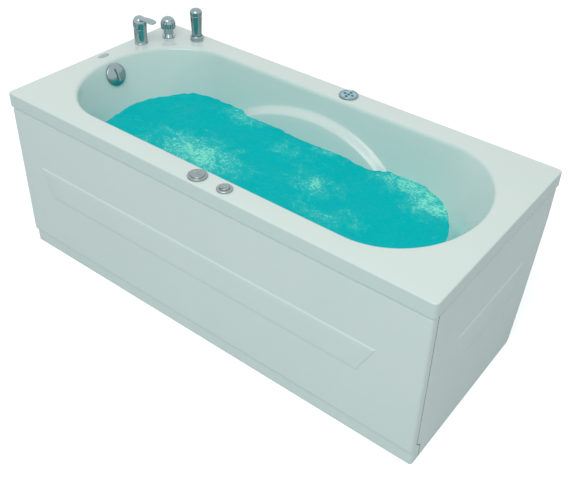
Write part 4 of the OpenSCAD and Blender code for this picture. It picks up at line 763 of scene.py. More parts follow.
@dataclass(frozen=True)
class TubShell:
    """Acrylic shell: rim, basin with armrests and backrest, and its holes."""

    # Rim, its rolled edge and the skirt
    half_l: float = 750.0
    half_w: float = 350.0
    corner: float = 13.0
    roll: float = 4.5
    skirt: float = 46.0
    hem: float = 1.8
    sheet: float = 5.0
    # Basin: half sizes of its mouth, reach of the round ends at mouth and floor, rounding of the
    # lip and of the floor's edge, and the walls' slopes in degrees from upright
    basin_hl: float = 691.0
    basin_hw: float = 287.0
    depth: float = 420.0
    end_reach: float = 242.0
    floor_reach: float = 115.0
    lip: float = 16.0
    fillet: float = 45.0
    foot_slope: float = 20.0
    side_slope: float = 12.0
    back_slope: float = 35.0
    # Armrests: how far they stand in, depth of their edge and how it falls towards their ends,
    # half length, height of the ledge, and how they fade below it and beyond their ends. The walls
    # lean in, so that places along the length are taken at arm_lean of those at the mouth.
    arm_in: float = 24.0
    arm_drop: float = 65.0
    arm_fall: float = 76.0
    arm_most: float = 1.3
    arm_lean: float = 0.9
    arm_half: float = 270.0
    arm_ledge: float = 26.0
    arm_full: float = 200.0
    arm_fade: float = 0.7
    arm_x: float = -10.0
    arm_tail: float = 0.3
    # Columns in a quarter's round end and in its straight side
    end_cols: int = 30
    side_cols: int = 34
    sharp: float = 50.0
    # Distance of the rings that keep the rim's roll and the hem apart from the flat skirt
    guard: float = 1.5
    # Steps round the holes, and how far the drills of rim, drain and walls reach each way
    sides: int = 48
    reach: float = 12.0
    drain_reach: float = 10.0
    wall_reach: float = 14.0
    # Place and radius of the holes in the rim
    deck_holes: tuple[Triple, ...] = (
        (*MIXER, 17.0), (*DIVERTER, 17.0), (*SHOWER, 17.0), (PAD_X, DECK_Y, 24.5),
        (AIR_X, -DECK_Y, 16.5), (BUTTON_X, -DECK_Y, 15.5))
    # Middles of the drain's hole and of the jets' holes, which have the overflow's radius
    drain: Triple = (-430.0, 0.0, 148.0)
    drain_r: float = 25.5
    jets_x: Triple = (-240.0, -35.0, 170.0)
    jet_y: float = 196.637
    jet_z: float = 290.0
    jet_r: float = 22.5
    # Place along the tub, height and radius of the suction's hole in the front wall
    suction: Triple = (-137.0, 234.0, 26.5)
    # Slope of the side walls there, in degrees from upright
    low_slope: float = 7.7556

    def lip_depth(self, slope: float) -> float:
        """Depth of the lip's lower end on a wall of that slope."""
        return self.lip * (1 - math.sin(math.radians(slope)))

    def fillet_depth(self, slope: float) -> float:
        """Depth at which the floor's fillet starts."""
        return self.depth - self.fillet * (1 - math.sin(math.radians(slope)))

    def wall_inset(self, slope: float, d: float) -> float:
        """Inset of the straight wall at a depth."""
        s = math.radians(slope)
        return self.lip * math.cos(s) + (d - self.lip_depth(slope)) * math.tan(s)

    def floor_inset(self, slope: float) -> float:
        """Inset of the flat floor's edge."""
        return (self.wall_inset(slope, self.fillet_depth(slope))
                + self.fillet * math.cos(math.radians(slope)))

    def arm_step(self, x: float) -> float:
        """How far the armrest stands in at a place along the length."""
        u = abs(x - self.arm_x) / self.arm_half
        return self.arm_in * (1 - smooth_step((u - 1) / self.arm_tail))

    def arm_edge(self, x: float) -> float:
        """Depth of the armrest's upper edge at a place along the length."""
        u = abs(x - self.arm_x) / self.arm_half
        return self.arm_drop + self.arm_fall * min(u * u, self.arm_most)

    def arm_share(self, d: float) -> float:
        """Share of the armrest that is left at a depth."""
        return 1 - self.arm_fade * max(d - self.arm_full, 0) / (self.depth - self.arm_full)

    def rows(self) -> list[tuple[str, float]]:
        """Rows of the wall from the lip to the floor.

        Returns:
            Part of the wall and place in it, for each row.
        """
        parts = (("lip", 8, 0), ("above", 6, 1), ("ledge", 12, 0), ("upper", 5, 1),
                 ("lower", 12, 1), ("fillet", 10, 1))
        listed = []
        for part, count, first in parts:
            last = count if part in ("lip", "ledge", "upper", "fillet") else count - 1
            listed += [(part, i / count) for i in range(first, last + 1)]
        return listed

    def columns(self) -> list[tuple[int, int, float, float]]:
        """Columns round the basin.

        Returns:
            Side in x, side in y, angle in the end and share of the straight, for each column.
        """
        ends = [(90.0 * k / self.end_cols, 1.0) for k in range(self.end_cols)]
        sides = [(90.0, i / self.side_cols) for i in range(self.side_cols, 0, -1)]
        back_sides = [(90.0, i / self.side_cols) for i in range(self.side_cols)]
        back_ends = [(90.0 * k / self.end_cols, 1.0) for k in range(self.end_cols, 0, -1)]
        listed = []
        for sx, sy, quarter in ((1, 1, ends + sides), (-1, 1, back_sides + back_ends),
                                (-1, -1, ends + sides), (1, -1, back_sides + back_ends)):
            listed += [(sx, sy, phi, s) for phi, s in quarter]
        return listed

    def wall_depth(self, row: tuple[str, float], d1: float, e: float, d2: float) -> float:
        """Depth of a row of the wall.

        Args:
            row: part of the wall and place in it.
            d1: depth of the lip's lower end.
            e: depth of the armrest's upper edge.
            d2: depth at which the floor's fillet starts.

        Returns:
            The depth below the rim.
        """
        part, t = row
        if part == "above":
            return d1 + (e - d1) * t
        if part == "ledge":
            return e + self.arm_ledge * t
        if part == "upper":
            return e + self.arm_ledge + (self.arm_full - e - self.arm_ledge) * t
        return self.arm_full + (d2 - self.arm_full) * t

    def row_point(self, slope: float, row: tuple[str, float], d: float, off: float) -> Pair:
        """Inset and depth of a row on a wall of one slope.

        Args:
            slope: slope from upright in degrees.
            row: part of the wall and place in it.
            d: depth of a wall row.
            off: how far the surface is moved out.

        Returns:
            Inset from the basin's mouth and depth below the rim.
        """
        part, t = row
        if part == "lip":
            a = math.radians(t * (90 - slope))
            return ((self.lip - off) * math.sin(a), self.lip - (self.lip - off) * math.cos(a))
        if part == "fillet":
            a = math.radians((90 - slope) * (1 - t))
            return (self.floor_inset(slope) - (self.fillet + off) * math.sin(a),
                    self.depth - self.fillet + (self.fillet + off) * math.cos(a))
        return self.wall_inset(slope, d) - off / math.cos(math.radians(slope)), d

    def basin_point(self, col: tuple[int, int, float, float], row: tuple[str, float],
                    off: float) -> Triple:
        """Point of the basin's surface.

        Args:
            col: column of columns().
            row: row of rows().
            off: how far the surface is moved out.

        Returns:
            The point in millimetres.
        """
        sx, sy, phi, s = col
        cos_phi, sin_phi = math.cos(math.radians(phi)), math.sin(math.radians(phi))
        end_slope = self.back_slope if sx > 0 else self.foot_slope
        straight = self.basin_hl - self.end_reach
        blend = cos_phi ** 2
        x_ref = sx * (straight * self.arm_lean * s + self.end_reach * cos_phi)
        d1 = (self.lip_depth(end_slope) * blend + self.lip_depth(self.side_slope) * (1 - blend))
        d2 = (self.fillet_depth(end_slope) * blend
              + self.fillet_depth(self.side_slope) * (1 - blend))
        d = self.wall_depth(row, d1, self.arm_edge(x_ref), d2)
        e = self.row_point(end_slope, row, d, off)
        w = self.row_point(self.side_slope, row, d, off)
        inner = self.row_point(end_slope, row, d, 0.0)
        depth = e[1] * blend + w[1] * (1 - blend)
        reach = (self.end_reach + (self.floor_reach - self.end_reach) * inner[0]
                 / self.floor_inset(end_slope))
        centre = self.basin_hl - inner[0] - reach
        x = sx * (centre * s + (reach + inner[0] - e[0]) * cos_phi)
        if row[0] in ("lip", "above"):
            share = 0.0
        elif row[0] == "ledge":
            share = smooth_step(row[1])
        else:
            share = self.arm_share(depth)
        y = (self.basin_hw - w[0] - self.arm_step(x) * share) * sin_phi
        return x, sy * y, RIM - depth

    def rim_point(self, col: tuple[int, int, float, float], e: float, z: float) -> Triple:
        """Point of the rim's outer outline.

        Args:
            col: column of columns().
            e: inset from the outline.
            z: height.

        Returns:
            The point in millimetres.
        """
        sx, sy, phi, s = col
        straight = self.basin_hl - self.end_reach
        x_end, y_end, r = self.half_l - e, self.half_w - e, self.corner - e
        m = 3 * (1 - phi / 90)
        if m <= 1:
            x = straight * s if m <= 0 else straight + (x_end - r - straight) * m
            y = y_end
        elif m <= 2:
            c = math.radians(90 * (2 - m))
            x, y = x_end - r + r * math.cos(c), y_end - r + r * math.sin(c)
        else:
            x, y = x_end, (y_end - r) * (3 - m)
        return sx * x, sy * y, z

    def rim_rings(self) -> list[Pair]:
        """Inset and height of the rings from the deck over the edge to the skirt's inside.

        Returns:
            One pair for each ring.
        """
        low, r = RIM - self.skirt, self.hem
        rings = [(self.roll * (1 - math.sin(a)), RIM - self.roll * (1 - math.cos(a)))
                 for a in quarter_angles(8)]
        rings += [(0.0, RIM - self.roll - self.guard), (0.0, low + r + self.guard)]
        rings += [(r * (1 - math.cos(a)), low + r * (1 - math.sin(a))) for a in quarter_angles(4)]
        return rings + [(self.sheet - 0.5, low), (self.sheet, low), (self.sheet, low + 1.0),
                        (self.sheet, RIM - self.sheet)]

    def skin(self) -> tuple[Skin, int]:
        """Points and faces of the shell, and the number of faces on its shown side.

        Returns:
            The skin and the number.
        """
        cols, rows = self.columns(), self.rows()
        rings = [[self.basin_point(c, r, 0.0) for c in cols] for r in reversed(rows)]
        rings += [[self.rim_point(c, e, z) for c in cols] for e, z in self.rim_rings()]
        shown = (len(rings) - 1) * len(cols) + 1
        rings += [[self.basin_point(c, r, self.sheet) for c in cols] for r in rows]
        return loft(rings), shown

    def low_wall_y(self, d: float) -> float:
        """Distance of the inner side wall from the middle below the armrest's edge."""
        return (self.basin_hw - self.wall_inset(self.side_slope, d)
                - self.arm_in * self.arm_share(d))

    def cutter(self) -> Object:
        """All the drills of the shell's holes as one object.

        Returns:
            The new object.
        """
        drills = [(deck_place(x, y), r, self.reach) for x, y, r in self.deck_holes]
        drills.append((Matrix.Translation(self.drain), self.drain_r, self.drain_reach))
        drills.append((Matrix.Translation(OVERFLOW) @ Matrix.Rotation(OVERFLOW_LEAN, 4, "Y"),
                       self.jet_r, self.reach))
        wall = [(x, y, self.jet_z, self.jet_r) for x in self.jets_x
                for y in (-self.jet_y, self.jet_y)]
        x, z, r = self.suction
        wall.append((x, -self.low_wall_y(RIM - z), z, r))
        lean = math.pi / 2 + math.radians(self.low_slope)
        for x, y, z, r in wall:
            tilt = Matrix.Rotation(-lean if y > 0 else lean, 4, "X")
            drills.append((Matrix.Translation((x, y, z)) @ tilt, r, self.wall_reach))
        points: list[Triple] = []
        faces: list[tuple[int, ...]] = []
        for place, r, reach in drills:
            part, sides = rod(r, (-reach, reach), self.sides)
            faces += [tuple(len(points) + i for i in f) for f in sides]
            points += [tuple(place @ Vector(p)) for p in part]
        return mesh_object("shell_cutter", (points, faces))

    def build(self) -> Object:
        """The dressed shell.

        Returns:
            The shell.
        """
        skin, shown = self.skin()
        whole = mesh_object("tub_shell_dressed", skin, sharp=self.sharp)
        for finish in (ACRYLIC, LAMINATE):
            whole.data.materials.append(finish.material())
        for polygon in whole.data.polygons:
            polygon.material_index = int(polygon.index >= shown)
        uncut = whole.data
        combine(whole, self.cutter(), "DIFFERENCE", self.sharp)
        self.keep_normals(whole.data, uncut)
        return dress(whole, ACRYLIC, TUB, ["tub_shell"])

    @staticmethod
    def keep_normals(mesh: bpy.types.Mesh, uncut: bpy.types.Mesh) -> None:
        """Gives the faces round the holes the shading of the uncut surface.

        Args:
            mesh: the cut shell.
            uncut: the shell before its holes were cut.
        """
        faces = [tuple(p.vertices) for p in uncut.polygons]
        tree = BVHTree.FromPolygons([v.co.copy() for v in uncut.vertices], faces)
        old = {tuple(round(c, 6) for c in v.co) for v in uncut.vertices}
        fresh = [tuple(round(c, 6) for c in v.co) not in old for v in mesh.vertices]
        split = [Vector() for _ in mesh.loops]
        for polygon in mesh.polygons:
            if not any(fresh[v] for v in polygon.vertices):
                continue
            for k in polygon.loop_indices:
                here = mesh.vertices[mesh.loops[k].vertex_index].co
                _, flat, index, _ = tree.find_nearest(here)
                # A face turned far from the uncut surface is a hole's own wall
                if index is None or flat.dot(polygon.normal) < 0.7:
                    continue
                total = Vector()
                for v in faces[index][:8]:
                    near = uncut.vertices[v]
                    total += near.normal / ((near.co - here).length + 1e-5)
                split[k] = total.normalized()
        mesh.normals_split_custom_set(split)


@dataclass(frozen=True)
class ApronPanels:
    """Front panel that wraps the corners, and end panel, each with a soft raised field."""

    front_y: float = -346.0
    end_x: float = 746.0
    top: float = 521.0
    sheet: float = 4.0
    emboss: float = 3.0
    soft: float = 6.0
    toe: float = 46.0
    toe_roll: float = 16.0
    toe_recess: float = 8.0
    wrap: float = 24.0
    toe_return: float = 20.0
    return_rise: float = 20.0
    seam: float = 3.4
    # Dark strip in the seam, painted shade of the gap: how far it lies back, how far it laps over
    # the edges, its thickness
    shade_strip_depth: float = 0.8
    shade_strip_lap: float = 0.6
    shade_strip_thick: float = 6.0
    # Stepped lip under the skirt: its depth and height, and the height in which it runs out
    lip_step: float = 2.8
    lip_height: float = 5.0
    lip_run: float = 3.2
    # Rounding of the sheet's edges, and the angle in degrees over which an edge gets it
    edge: float = 0.8
    edge_angle: float = 55.0
    corner: float = 9.0
    flange: float = 14.0
    flange_in: float = 10.5
    field_top: float = 340.0
    field_bottom: float = 238.0
    # Left and right end of each raised field, at its top and at its bottom
    front_field: tuple[Pair, Pair] = ((-648.0, 612.0), (-608.0, 562.0))
    end_field: tuple[Pair, Pair] = ((-186.0, 201.0), (-145.0, 160.0))
    # Places and heights of the end panel's slanted back edge
    end_back: tuple[Pair, ...] = ((223.0, 0.0), (234.0, 4.0), (238.0, 15.0), (275.0, 154.0),
                                  (330.0, 411.0), (339.0, 521.0))

    def field_edges(self, z: float, field: tuple[Pair, Pair]) -> Pair:
        """Left and right end of a raised field's outline at a height.

        Args:
            z: the height.
            field: ends of the raised field.

        Returns:
            The two places along the panel.
        """
        t = min(max((z - self.field_bottom) / (self.field_top - self.field_bottom), 0.0), 1.0)
        return (field[1][0] + (field[0][0] - field[1][0]) * t,
                field[1][1] + (field[0][1] - field[1][1]) * t)

    def rise(self, u: float, z: float, field: tuple[Pair, Pair]) -> float:
        """How far a panel's face stands out at a place.

        Args:
            u: place along the panel.
            z: height.
            field: ends of its raised field.

        Returns:
            Distance from the flat face.
        """
        left, right = self.field_edges(z, field)
        inside = (u - left, right - u, z - self.field_bottom, self.field_top - z)
        return self.emboss * min(smooth_step(d / self.soft) for d in inside)

    def lip_rows(self) -> list[Pair]:
        """Inset and height of the rows of the stepped lip under the skirt.

        Returns:
            One pair for each row.
        """
        step, low = self.lip_step, self.top - self.lip_height
        rows = [(step + 2.0, self.top), (step + 0.7, self.top - 0.3), (step + 0.1, self.top - 1.2)]
        return rows + [(step * (1 - smooth_step(k / 5)), low - self.lip_run * k / 5)
                       for k in range(6)]

    def heights(self) -> list[float]:
        """Heights of the rows down the flat face, close together along the field's edges.

        Returns:
            The heights from the lip down.
        """
        marks = [self.top - self.lip_height - 4.5, 500, 460, 420, 380, 350]
        marks += [self.field_top + 2, self.field_top]
        marks += [self.field_top - self.soft * k / 6 for k in range(1, 7)] + [318, 300, 280, 260]
        marks += [self.field_bottom + self.soft * k / 6 for k in range(6, 0, -1)]
        marks += [self.field_bottom, self.field_bottom - 2]
        return marks + [220, 190, 160, 130, 100, self.toe + self.return_rise,
                        self.toe + self.toe_roll]

    def across(self, z: float, start: float, end: float, field: tuple[Pair, Pair]) -> list[float]:
        """Places of the columns across the face at a height, close along the field's ends.

        Args:
            z: height.
            start: place of the first column.
            end: place of the last column.
            field: ends of the raised field.

        Returns:
            One place for each column.
        """
        left, right = self.field_edges(z, field)
        marks = [start + (left - 2 - start) * k / 4 for k in range(4)]
        marks += [left - 2, left] + [left + self.soft * k / 6 for k in range(1, 7)]
        inner = (left + self.soft, right - self.soft)
        marks += [inner[0] + (inner[1] - inner[0]) * k / 16 for k in range(1, 16)]
        marks += [right - self.soft * k / 6 for k in range(6, 0, -1)] + [right, right + 2]
        return marks + [right + 2 + (end - right - 2) * k / 4 for k in range(1, 5)]

    def return_depth(self, z: float) -> float:
        """Depth of the front panel's returns at a height: they grow deeper at the plinth."""
        share = min(max((self.toe + self.return_rise - z) / self.return_rise, 0.0), 1.0)
        return self.wrap + self.toe_return * share

    def front_rows(self) -> list[Pair]:
        """Inset and height of the front panel's rows, from the flange to the floor.

        Returns:
            One pair for each row.
        """
        rows = [(self.flange, self.top)] + self.lip_rows() + [(0.0, z) for z in self.heights()]
        rows += [((self.toe_recess - 0.5) * (1 - math.cos(a)),
                  self.toe + self.toe_roll * (1 - math.sin(a))) for a in quarter_angles(8)[1:]]
        return rows + [(self.toe_recess, z) for z in (self.toe, self.toe - 1.5, 20.0, 0.0)]

    def front_skin(self) -> Skin:
        """Outer face of the front panel.

        Returns:
            Points and faces.
        """
        inner = self.end_x - self.corner
        rows = []
        for inset, z in self.front_rows():
            y = self.front_y + inset
            lip = inset if inset > self.lip_step and z > self.top - 1.5 else 0.0
            r = self.corner - min(lip, self.corner - 0.5)
            back = (self.end_x - lip, self.front_y + self.return_depth(z))
            arc = [(inner + r * math.cos(a), y + r - r * math.sin(a)) for a in quarter_angles(6)]
            flat = self.across(z, -inner, inner, self.front_field)[1:-1]
            row = [(-u, v) for u, v in [back] + arc]
            row += [(u, y - self.rise(u, z, self.front_field)) for u in flat]
            row += arc[::-1] + [back]
            rows.append([(u, v, z) for u, v in row])
        points, faces = sheet_skin(rows)
        return points, [tuple(reversed(f)) for f in faces]

    def end_back_edge(self, z: float) -> float:
        """Place of the end panel's back edge at a height.

        Args:
            z: the height.

        Returns:
            Its place along Y.
        """
        for (y0, z0), (y1, z1) in zip(self.end_back, self.end_back[1:]):
            if z <= z1:
                return y0 + (y1 - y0) * (z - z0) / (z1 - z0)
        return self.end_back[-1][0]

    def end_skin(self) -> Skin:
        """Outer face of the end panel.

        Returns:
            Points and faces.
        """
        marks = [(self.flange, self.top)] + self.lip_rows() + [(0.0, z) for z in self.heights()]
        marks += [(0.0, z) for z in (self.toe, 40.0, 20.0, 15.0, 10.0, 4.0, 2.0, 0.0)]
        rows = []
        for inset, z in marks:
            start = self.front_y + self.return_depth(z) + self.seam
            start += self.flange_in if inset > 3 else 0.0
            flat = self.across(z, start, self.end_back_edge(z), self.end_field)
            rows.append([(self.end_x - inset + self.rise(y, z, self.end_field), y, z)
                         for y in flat])
        return sheet_skin(rows)

    def panel(self, name: str, skin: Skin) -> None:
        """Makes a panel from its outer face, with thickness and softened edges.

        Args:
            name: CAD node that it replaces.
            skin: the outer face.
        """
        obj = mesh_object(f"{name}_dressed", skin)
        step = obj.modifiers.new("thickness", "SOLIDIFY")
        step.thickness = self.sheet * MM
        step.offset = -1.0
        step.use_even_offset = False
        dress(soften(bake(obj), self.edge, self.edge_angle), APRON, TUB, [name])

    def shade_strip(self) -> None:
        """Dark rubber-finished strip in the seam between the two panels: painted shade that darkens
        the gap.
        """
        rings = []
        for z in (self.top - 6, self.toe + self.return_rise, self.toe, 1.0):
            y0 = self.front_y + self.return_depth(z) - self.shade_strip_lap
            y1 = y0 + self.seam + 2 * self.shade_strip_lap
            x1 = self.end_x - self.shade_strip_depth
            x0 = x1 - self.shade_strip_thick
            rings.append([(x0, y0, z), (x1, y0, z), (x1, y1, z), (x0, y1, z)])
        dress(mesh_object("panel_seam_shade_strip", loft(rings)), RUBBER, TUB)

    def build(self) -> None:
        """Both dressed panels and the dark strip of painted shade between them."""
        self.panel("front_panel", self.front_skin())
        self.panel("end_panel", self.end_skin())
        self.shade_strip()


@dataclass(frozen=True)
class DeckTaps:
    """Single-lever mixer, diverter and pull-out hand shower on the deck."""

    # Angle and radius of the bores under the mixer, and the radius of the circle they stand on
    bores: tuple[Pair, ...] = ((0, 4.3), (130, 4.5), (230, 4.5))
    bore_circle: float = 9.0
    # The handle's slanted cut: a place on it and its slope in degrees
    cut_at: Triple = (22, 0, 55)
    tilt: float = 11.0
    # The handle's pin: its height, its radius and the distance of the ears that hold it
    pivot: float = 60.0
    pin_r: float = 2.05
    ear_y: float = 6.6
    # Size of the steps in which dome and lever run together, and how often they are evened out
    voxel: float = 0.95
    evened: int = 9
    # Angle for the sharp edges of the handle
    sharp: float = 40.0
    # Reach, height, half width and half thickness along the lever
    lever: tuple[tuple[float, float, float, float], ...] = (
        (-4, 84, 11.5, 8.0), (8, 87, 12.5, 8.5), (22, 90.5, 13.5, 7.0), (36, 92.3, 15.2, 5.6),
        (50, 92.4, 16.6, 4.7), (60, 91.2, 16.6, 4.1), (66, 90.2, 15.0, 3.6),
        (70, 89.4, 11.5, 3.0), (72, 89.0, 6.5, 2.2))

    def mixer_body(self) -> None:
        """Body of the mixer: a turned column on a flared foot, with the bores of its hoses."""
        place = deck_place(*MIXER)
        body = turned_piece("mixer_body_dressed", [
            (0, -50, 0), (16.5, -50, 0.8), (16.5, 0.2, 0), (23.0, 0.2, 0.5), (23.2, 3.2, 1.2),
            (21.6, 5.4, 1.5), (22.0, 54.0, 0.8), (19.3, 55.2, 0.6), (18.4, 67.8, 1.0),
            (16.2, 67.8, 0.6), (17.0, 56.5, 0.5), (18.0, 49.5, 0.4), (18.0, 8.0, 0),
            (0, 8.0, 0)], place)
        for angle, bore in self.bores:
            a, r = math.radians(angle), self.bore_circle
            drill(body, place @ Matrix.Translation((r * math.cos(a), r * math.sin(a), 0)),
                  bore, (-60, -38), 24)
        dress(body, CHROME, TUB, ["mixer_body"])

    def mixer_dome(self, place: Matrix) -> Object:
        """Dome and lever of the mixer, run into one flowing form and hollowed.

        Args:
            place: local frame of the mixer.

        Returns:
            The new object.
        """
        dome = turned_piece("mixer_handle_dressed", [
            (0, 50, 0), (22.4, 50, 0.5), (23.2, 66, 6), (23.0, 78, 9), (17.5, 91.5, 8),
            (8.0, 97.0, 6), (0, 97.2, 0)], place, 64, 8)
        rings = [[(x, half * math.cos(t), z + thick * math.sin(t)) for t in round_angles(32)]
                 for x, z, half, thick in self.lever]
        combine(dome, mesh_object("paddle", loft(rings), place), "UNION")
        blend = dome.modifiers.new("blend", "REMESH")
        blend.mode = "VOXEL"
        blend.voxel_size = self.voxel * MM
        even = dome.modifiers.new("even", "SMOOTH")
        even.factor = 0.5
        even.iterations = self.evened
        bake(dome, 60.0)
        hollow = turned_piece("hollow", [(0, 40, 0), (20.4, 40, 0), (20.4, 60, 0), (18.6, 70, 4),
                                         (10, 78.8, 4), (0, 80.4, 0)], place, 48, 8)
        return combine(dome, hollow, "DIFFERENCE", self.sharp)

    def mixer_handle(self) -> None:
        """Handle cut off at a slant, with the ears that its pin runs through, and its cap."""
        place = deck_place(*MIXER)
        dome = self.mixer_dome(place)
        cut = place @ Matrix.Translation(self.cut_at) @ Matrix.Rotation(
            math.radians(self.tilt), 4, "Y")
        combine(dome, mesh_object("slant", block((-80, 50), (-50, 50), (-40, 0)), cut),
                "DIFFERENCE", self.sharp)
        across = Matrix.Rotation(math.pi / 2, 4, "X")
        for side in (-self.ear_y, self.ear_y):
            at = place @ Matrix.Translation((0, side, self.pivot))
            ear = turned_piece("ear", [(0, -2.2, 0), (5.0, -2.2, 0.4), (5.0, 2.2, 0.4),
                                       (0, 2.2, 0)], at @ across, 32)
            combine(ear, mesh_object("web", block((-4.4, 4.4), (-2.1, 2.1), (0, 21)), at), "UNION")
            combine(dome, ear, "UNION", self.sharp)
        drill(dome, place @ Matrix.Translation((0, 0, self.pivot)) @ across, self.pin_r,
              (-20, 20), 24, self.sharp)
        dress(dome, CHROME, "mixer_handle", ["mixer_handle"])
        cap = turned_piece("mixer_cap", [
            (0, -1, 0), (3.4, -1, 0), (3.4, 0.5, 0.3), (2.6, 0.9, 0.3), (2.2, 0.2, 0.2),
            (0, 0.2, 0)], place @ Matrix.Translation((22.4, 0, 70)) @ Matrix.Rotation(
                math.radians(86), 4, "Y"), 24)
        dress(cap, NYLON, "mixer_handle", ())

    def diverter_knob(self) -> None:
        """Fluted knob of the diverter with a domed cap."""
        place = deck_place(*DIVERTER)
        inner = [(0, 45.0), (17.6, 45.0), (18.2, 44.2)]
        outer = turned([(18.2, 33, 0), (25.0, 33, 0.8), (25.5, 37, 1.5), (25.5, 54, 5),
                        (19.5, 67.5, 8), (9.5, 73.4, 6), (0, 74, 0)], 7)
        knob = mesh_object("diverter_knob_dressed", lathe(
            inner + outer, 144, flute=(12, 1.9, 33.5, 66.0)), place)
        bore = turned_piece("spindle_bore", [(0, 44, 0), (5.05, 44, 0), (5.05, 52, 0.3),
                                             (0, 52, 0)], place, 32)
        combine(knob, bore, "DIFFERENCE")
        dress(knob, CHROME, "diverter_knob", ["diverter_knob"])

    def shower(self) -> None:
        """Socket with a rolled edge, and the slim hand shower with its seam and spray cap."""
        place = deck_place(*SHOWER)
        socket = turned_piece("handset_holder_dressed", [
            (13, -50, 0), (16.5, -50, 0.6), (16.5, 0.2, 0), (22.6, 0.2, 0.4), (23.0, 3.0, 0.8),
            (22.4, 4.2, 0.5), (22.8, 15.2, 1.6), (21.0, 18.0, 1.2), (17.6, 17.6, 0.8),
            (17.0, 14.0, 0), (17.0, 5.0, 0), (13.0, 5.0, 0)], place, closed=True)
        dress(socket, CHROME, TUB, ["handset_holder"])
        head = turned_piece("handset_dressed", [
            (0, -46, 0), (12.6, -46, 0.6), (12.6, 5.2, 0), (15.8, 5.2, 0.5), (16.4, 10, 1),
            (17.6, 40, 8), (19.4, 78, 10), (19.8, 90.5, 0.5), (18.9, 91.2, 0.3), (18.9, 92.4, 0.3),
            (20.4, 93.2, 0.6), (20.5, 104.5, 3), (16.0, 111.8, 5), (7.5, 115, 4), (0, 115, 0)],
            place, steps=6)
        dress(head, CHROMED_ABS, "handset", ["handset"])

    def build(self) -> None:
        """All the deck taps."""
        self.mixer_body()
        self.mixer_handle()
        self.diverter_knob()
        self.shower()


@dataclass(frozen=True)
class OverflowKnob:
    """Round overflow cover with the grip that works the plug."""

    back: float = 3.5
    # Height over the cover's back, half length and half width of the grip's rings
    grip: tuple[Triple, ...] = ((5.0, 28.0, 8.2), (9.0, 27.4, 7.6), (13.0, 26.4, 6.6),
                                (16.5, 25.4, 5.8), (18.4, 24.0, 4.8), (19.3, 21.5, 3.0))

    def build(self) -> None:
        """The dressed knob."""
        at = Matrix.Translation(OVERFLOW) @ Matrix.Rotation(OVERFLOW_LEAN, 4, "Y")
        b = self.back
        knob = turned_piece("overflow_knob_dressed", [
            (0, -30, 0), (6, -30, 0.5), (6, b + 0.6, 0), (34, b + 0.6, 0.6), (37, b, 0.6),
            (38, b + 2.5, 1.6), (36.8, b + 5.0, 1.6), (30, b + 8.4, 5), (18, b + 11.6, 8),
            (0, b + 13.2, 0)], at, 84, 6)
        rings = [[(math.copysign(half - wide, math.cos(a)) + wide * math.cos(a),
                   wide * math.sin(a), b + lift) for a in round_angles(40)]
                 for lift, half, wide in self.grip]
        combine(knob, mesh_object("grip", loft(rings), at), "UNION")
        soften(knob, 0.7, 35.0)
        dress(knob, CHROMED_ABS, "overflow_knob", ["overflow_knob"])


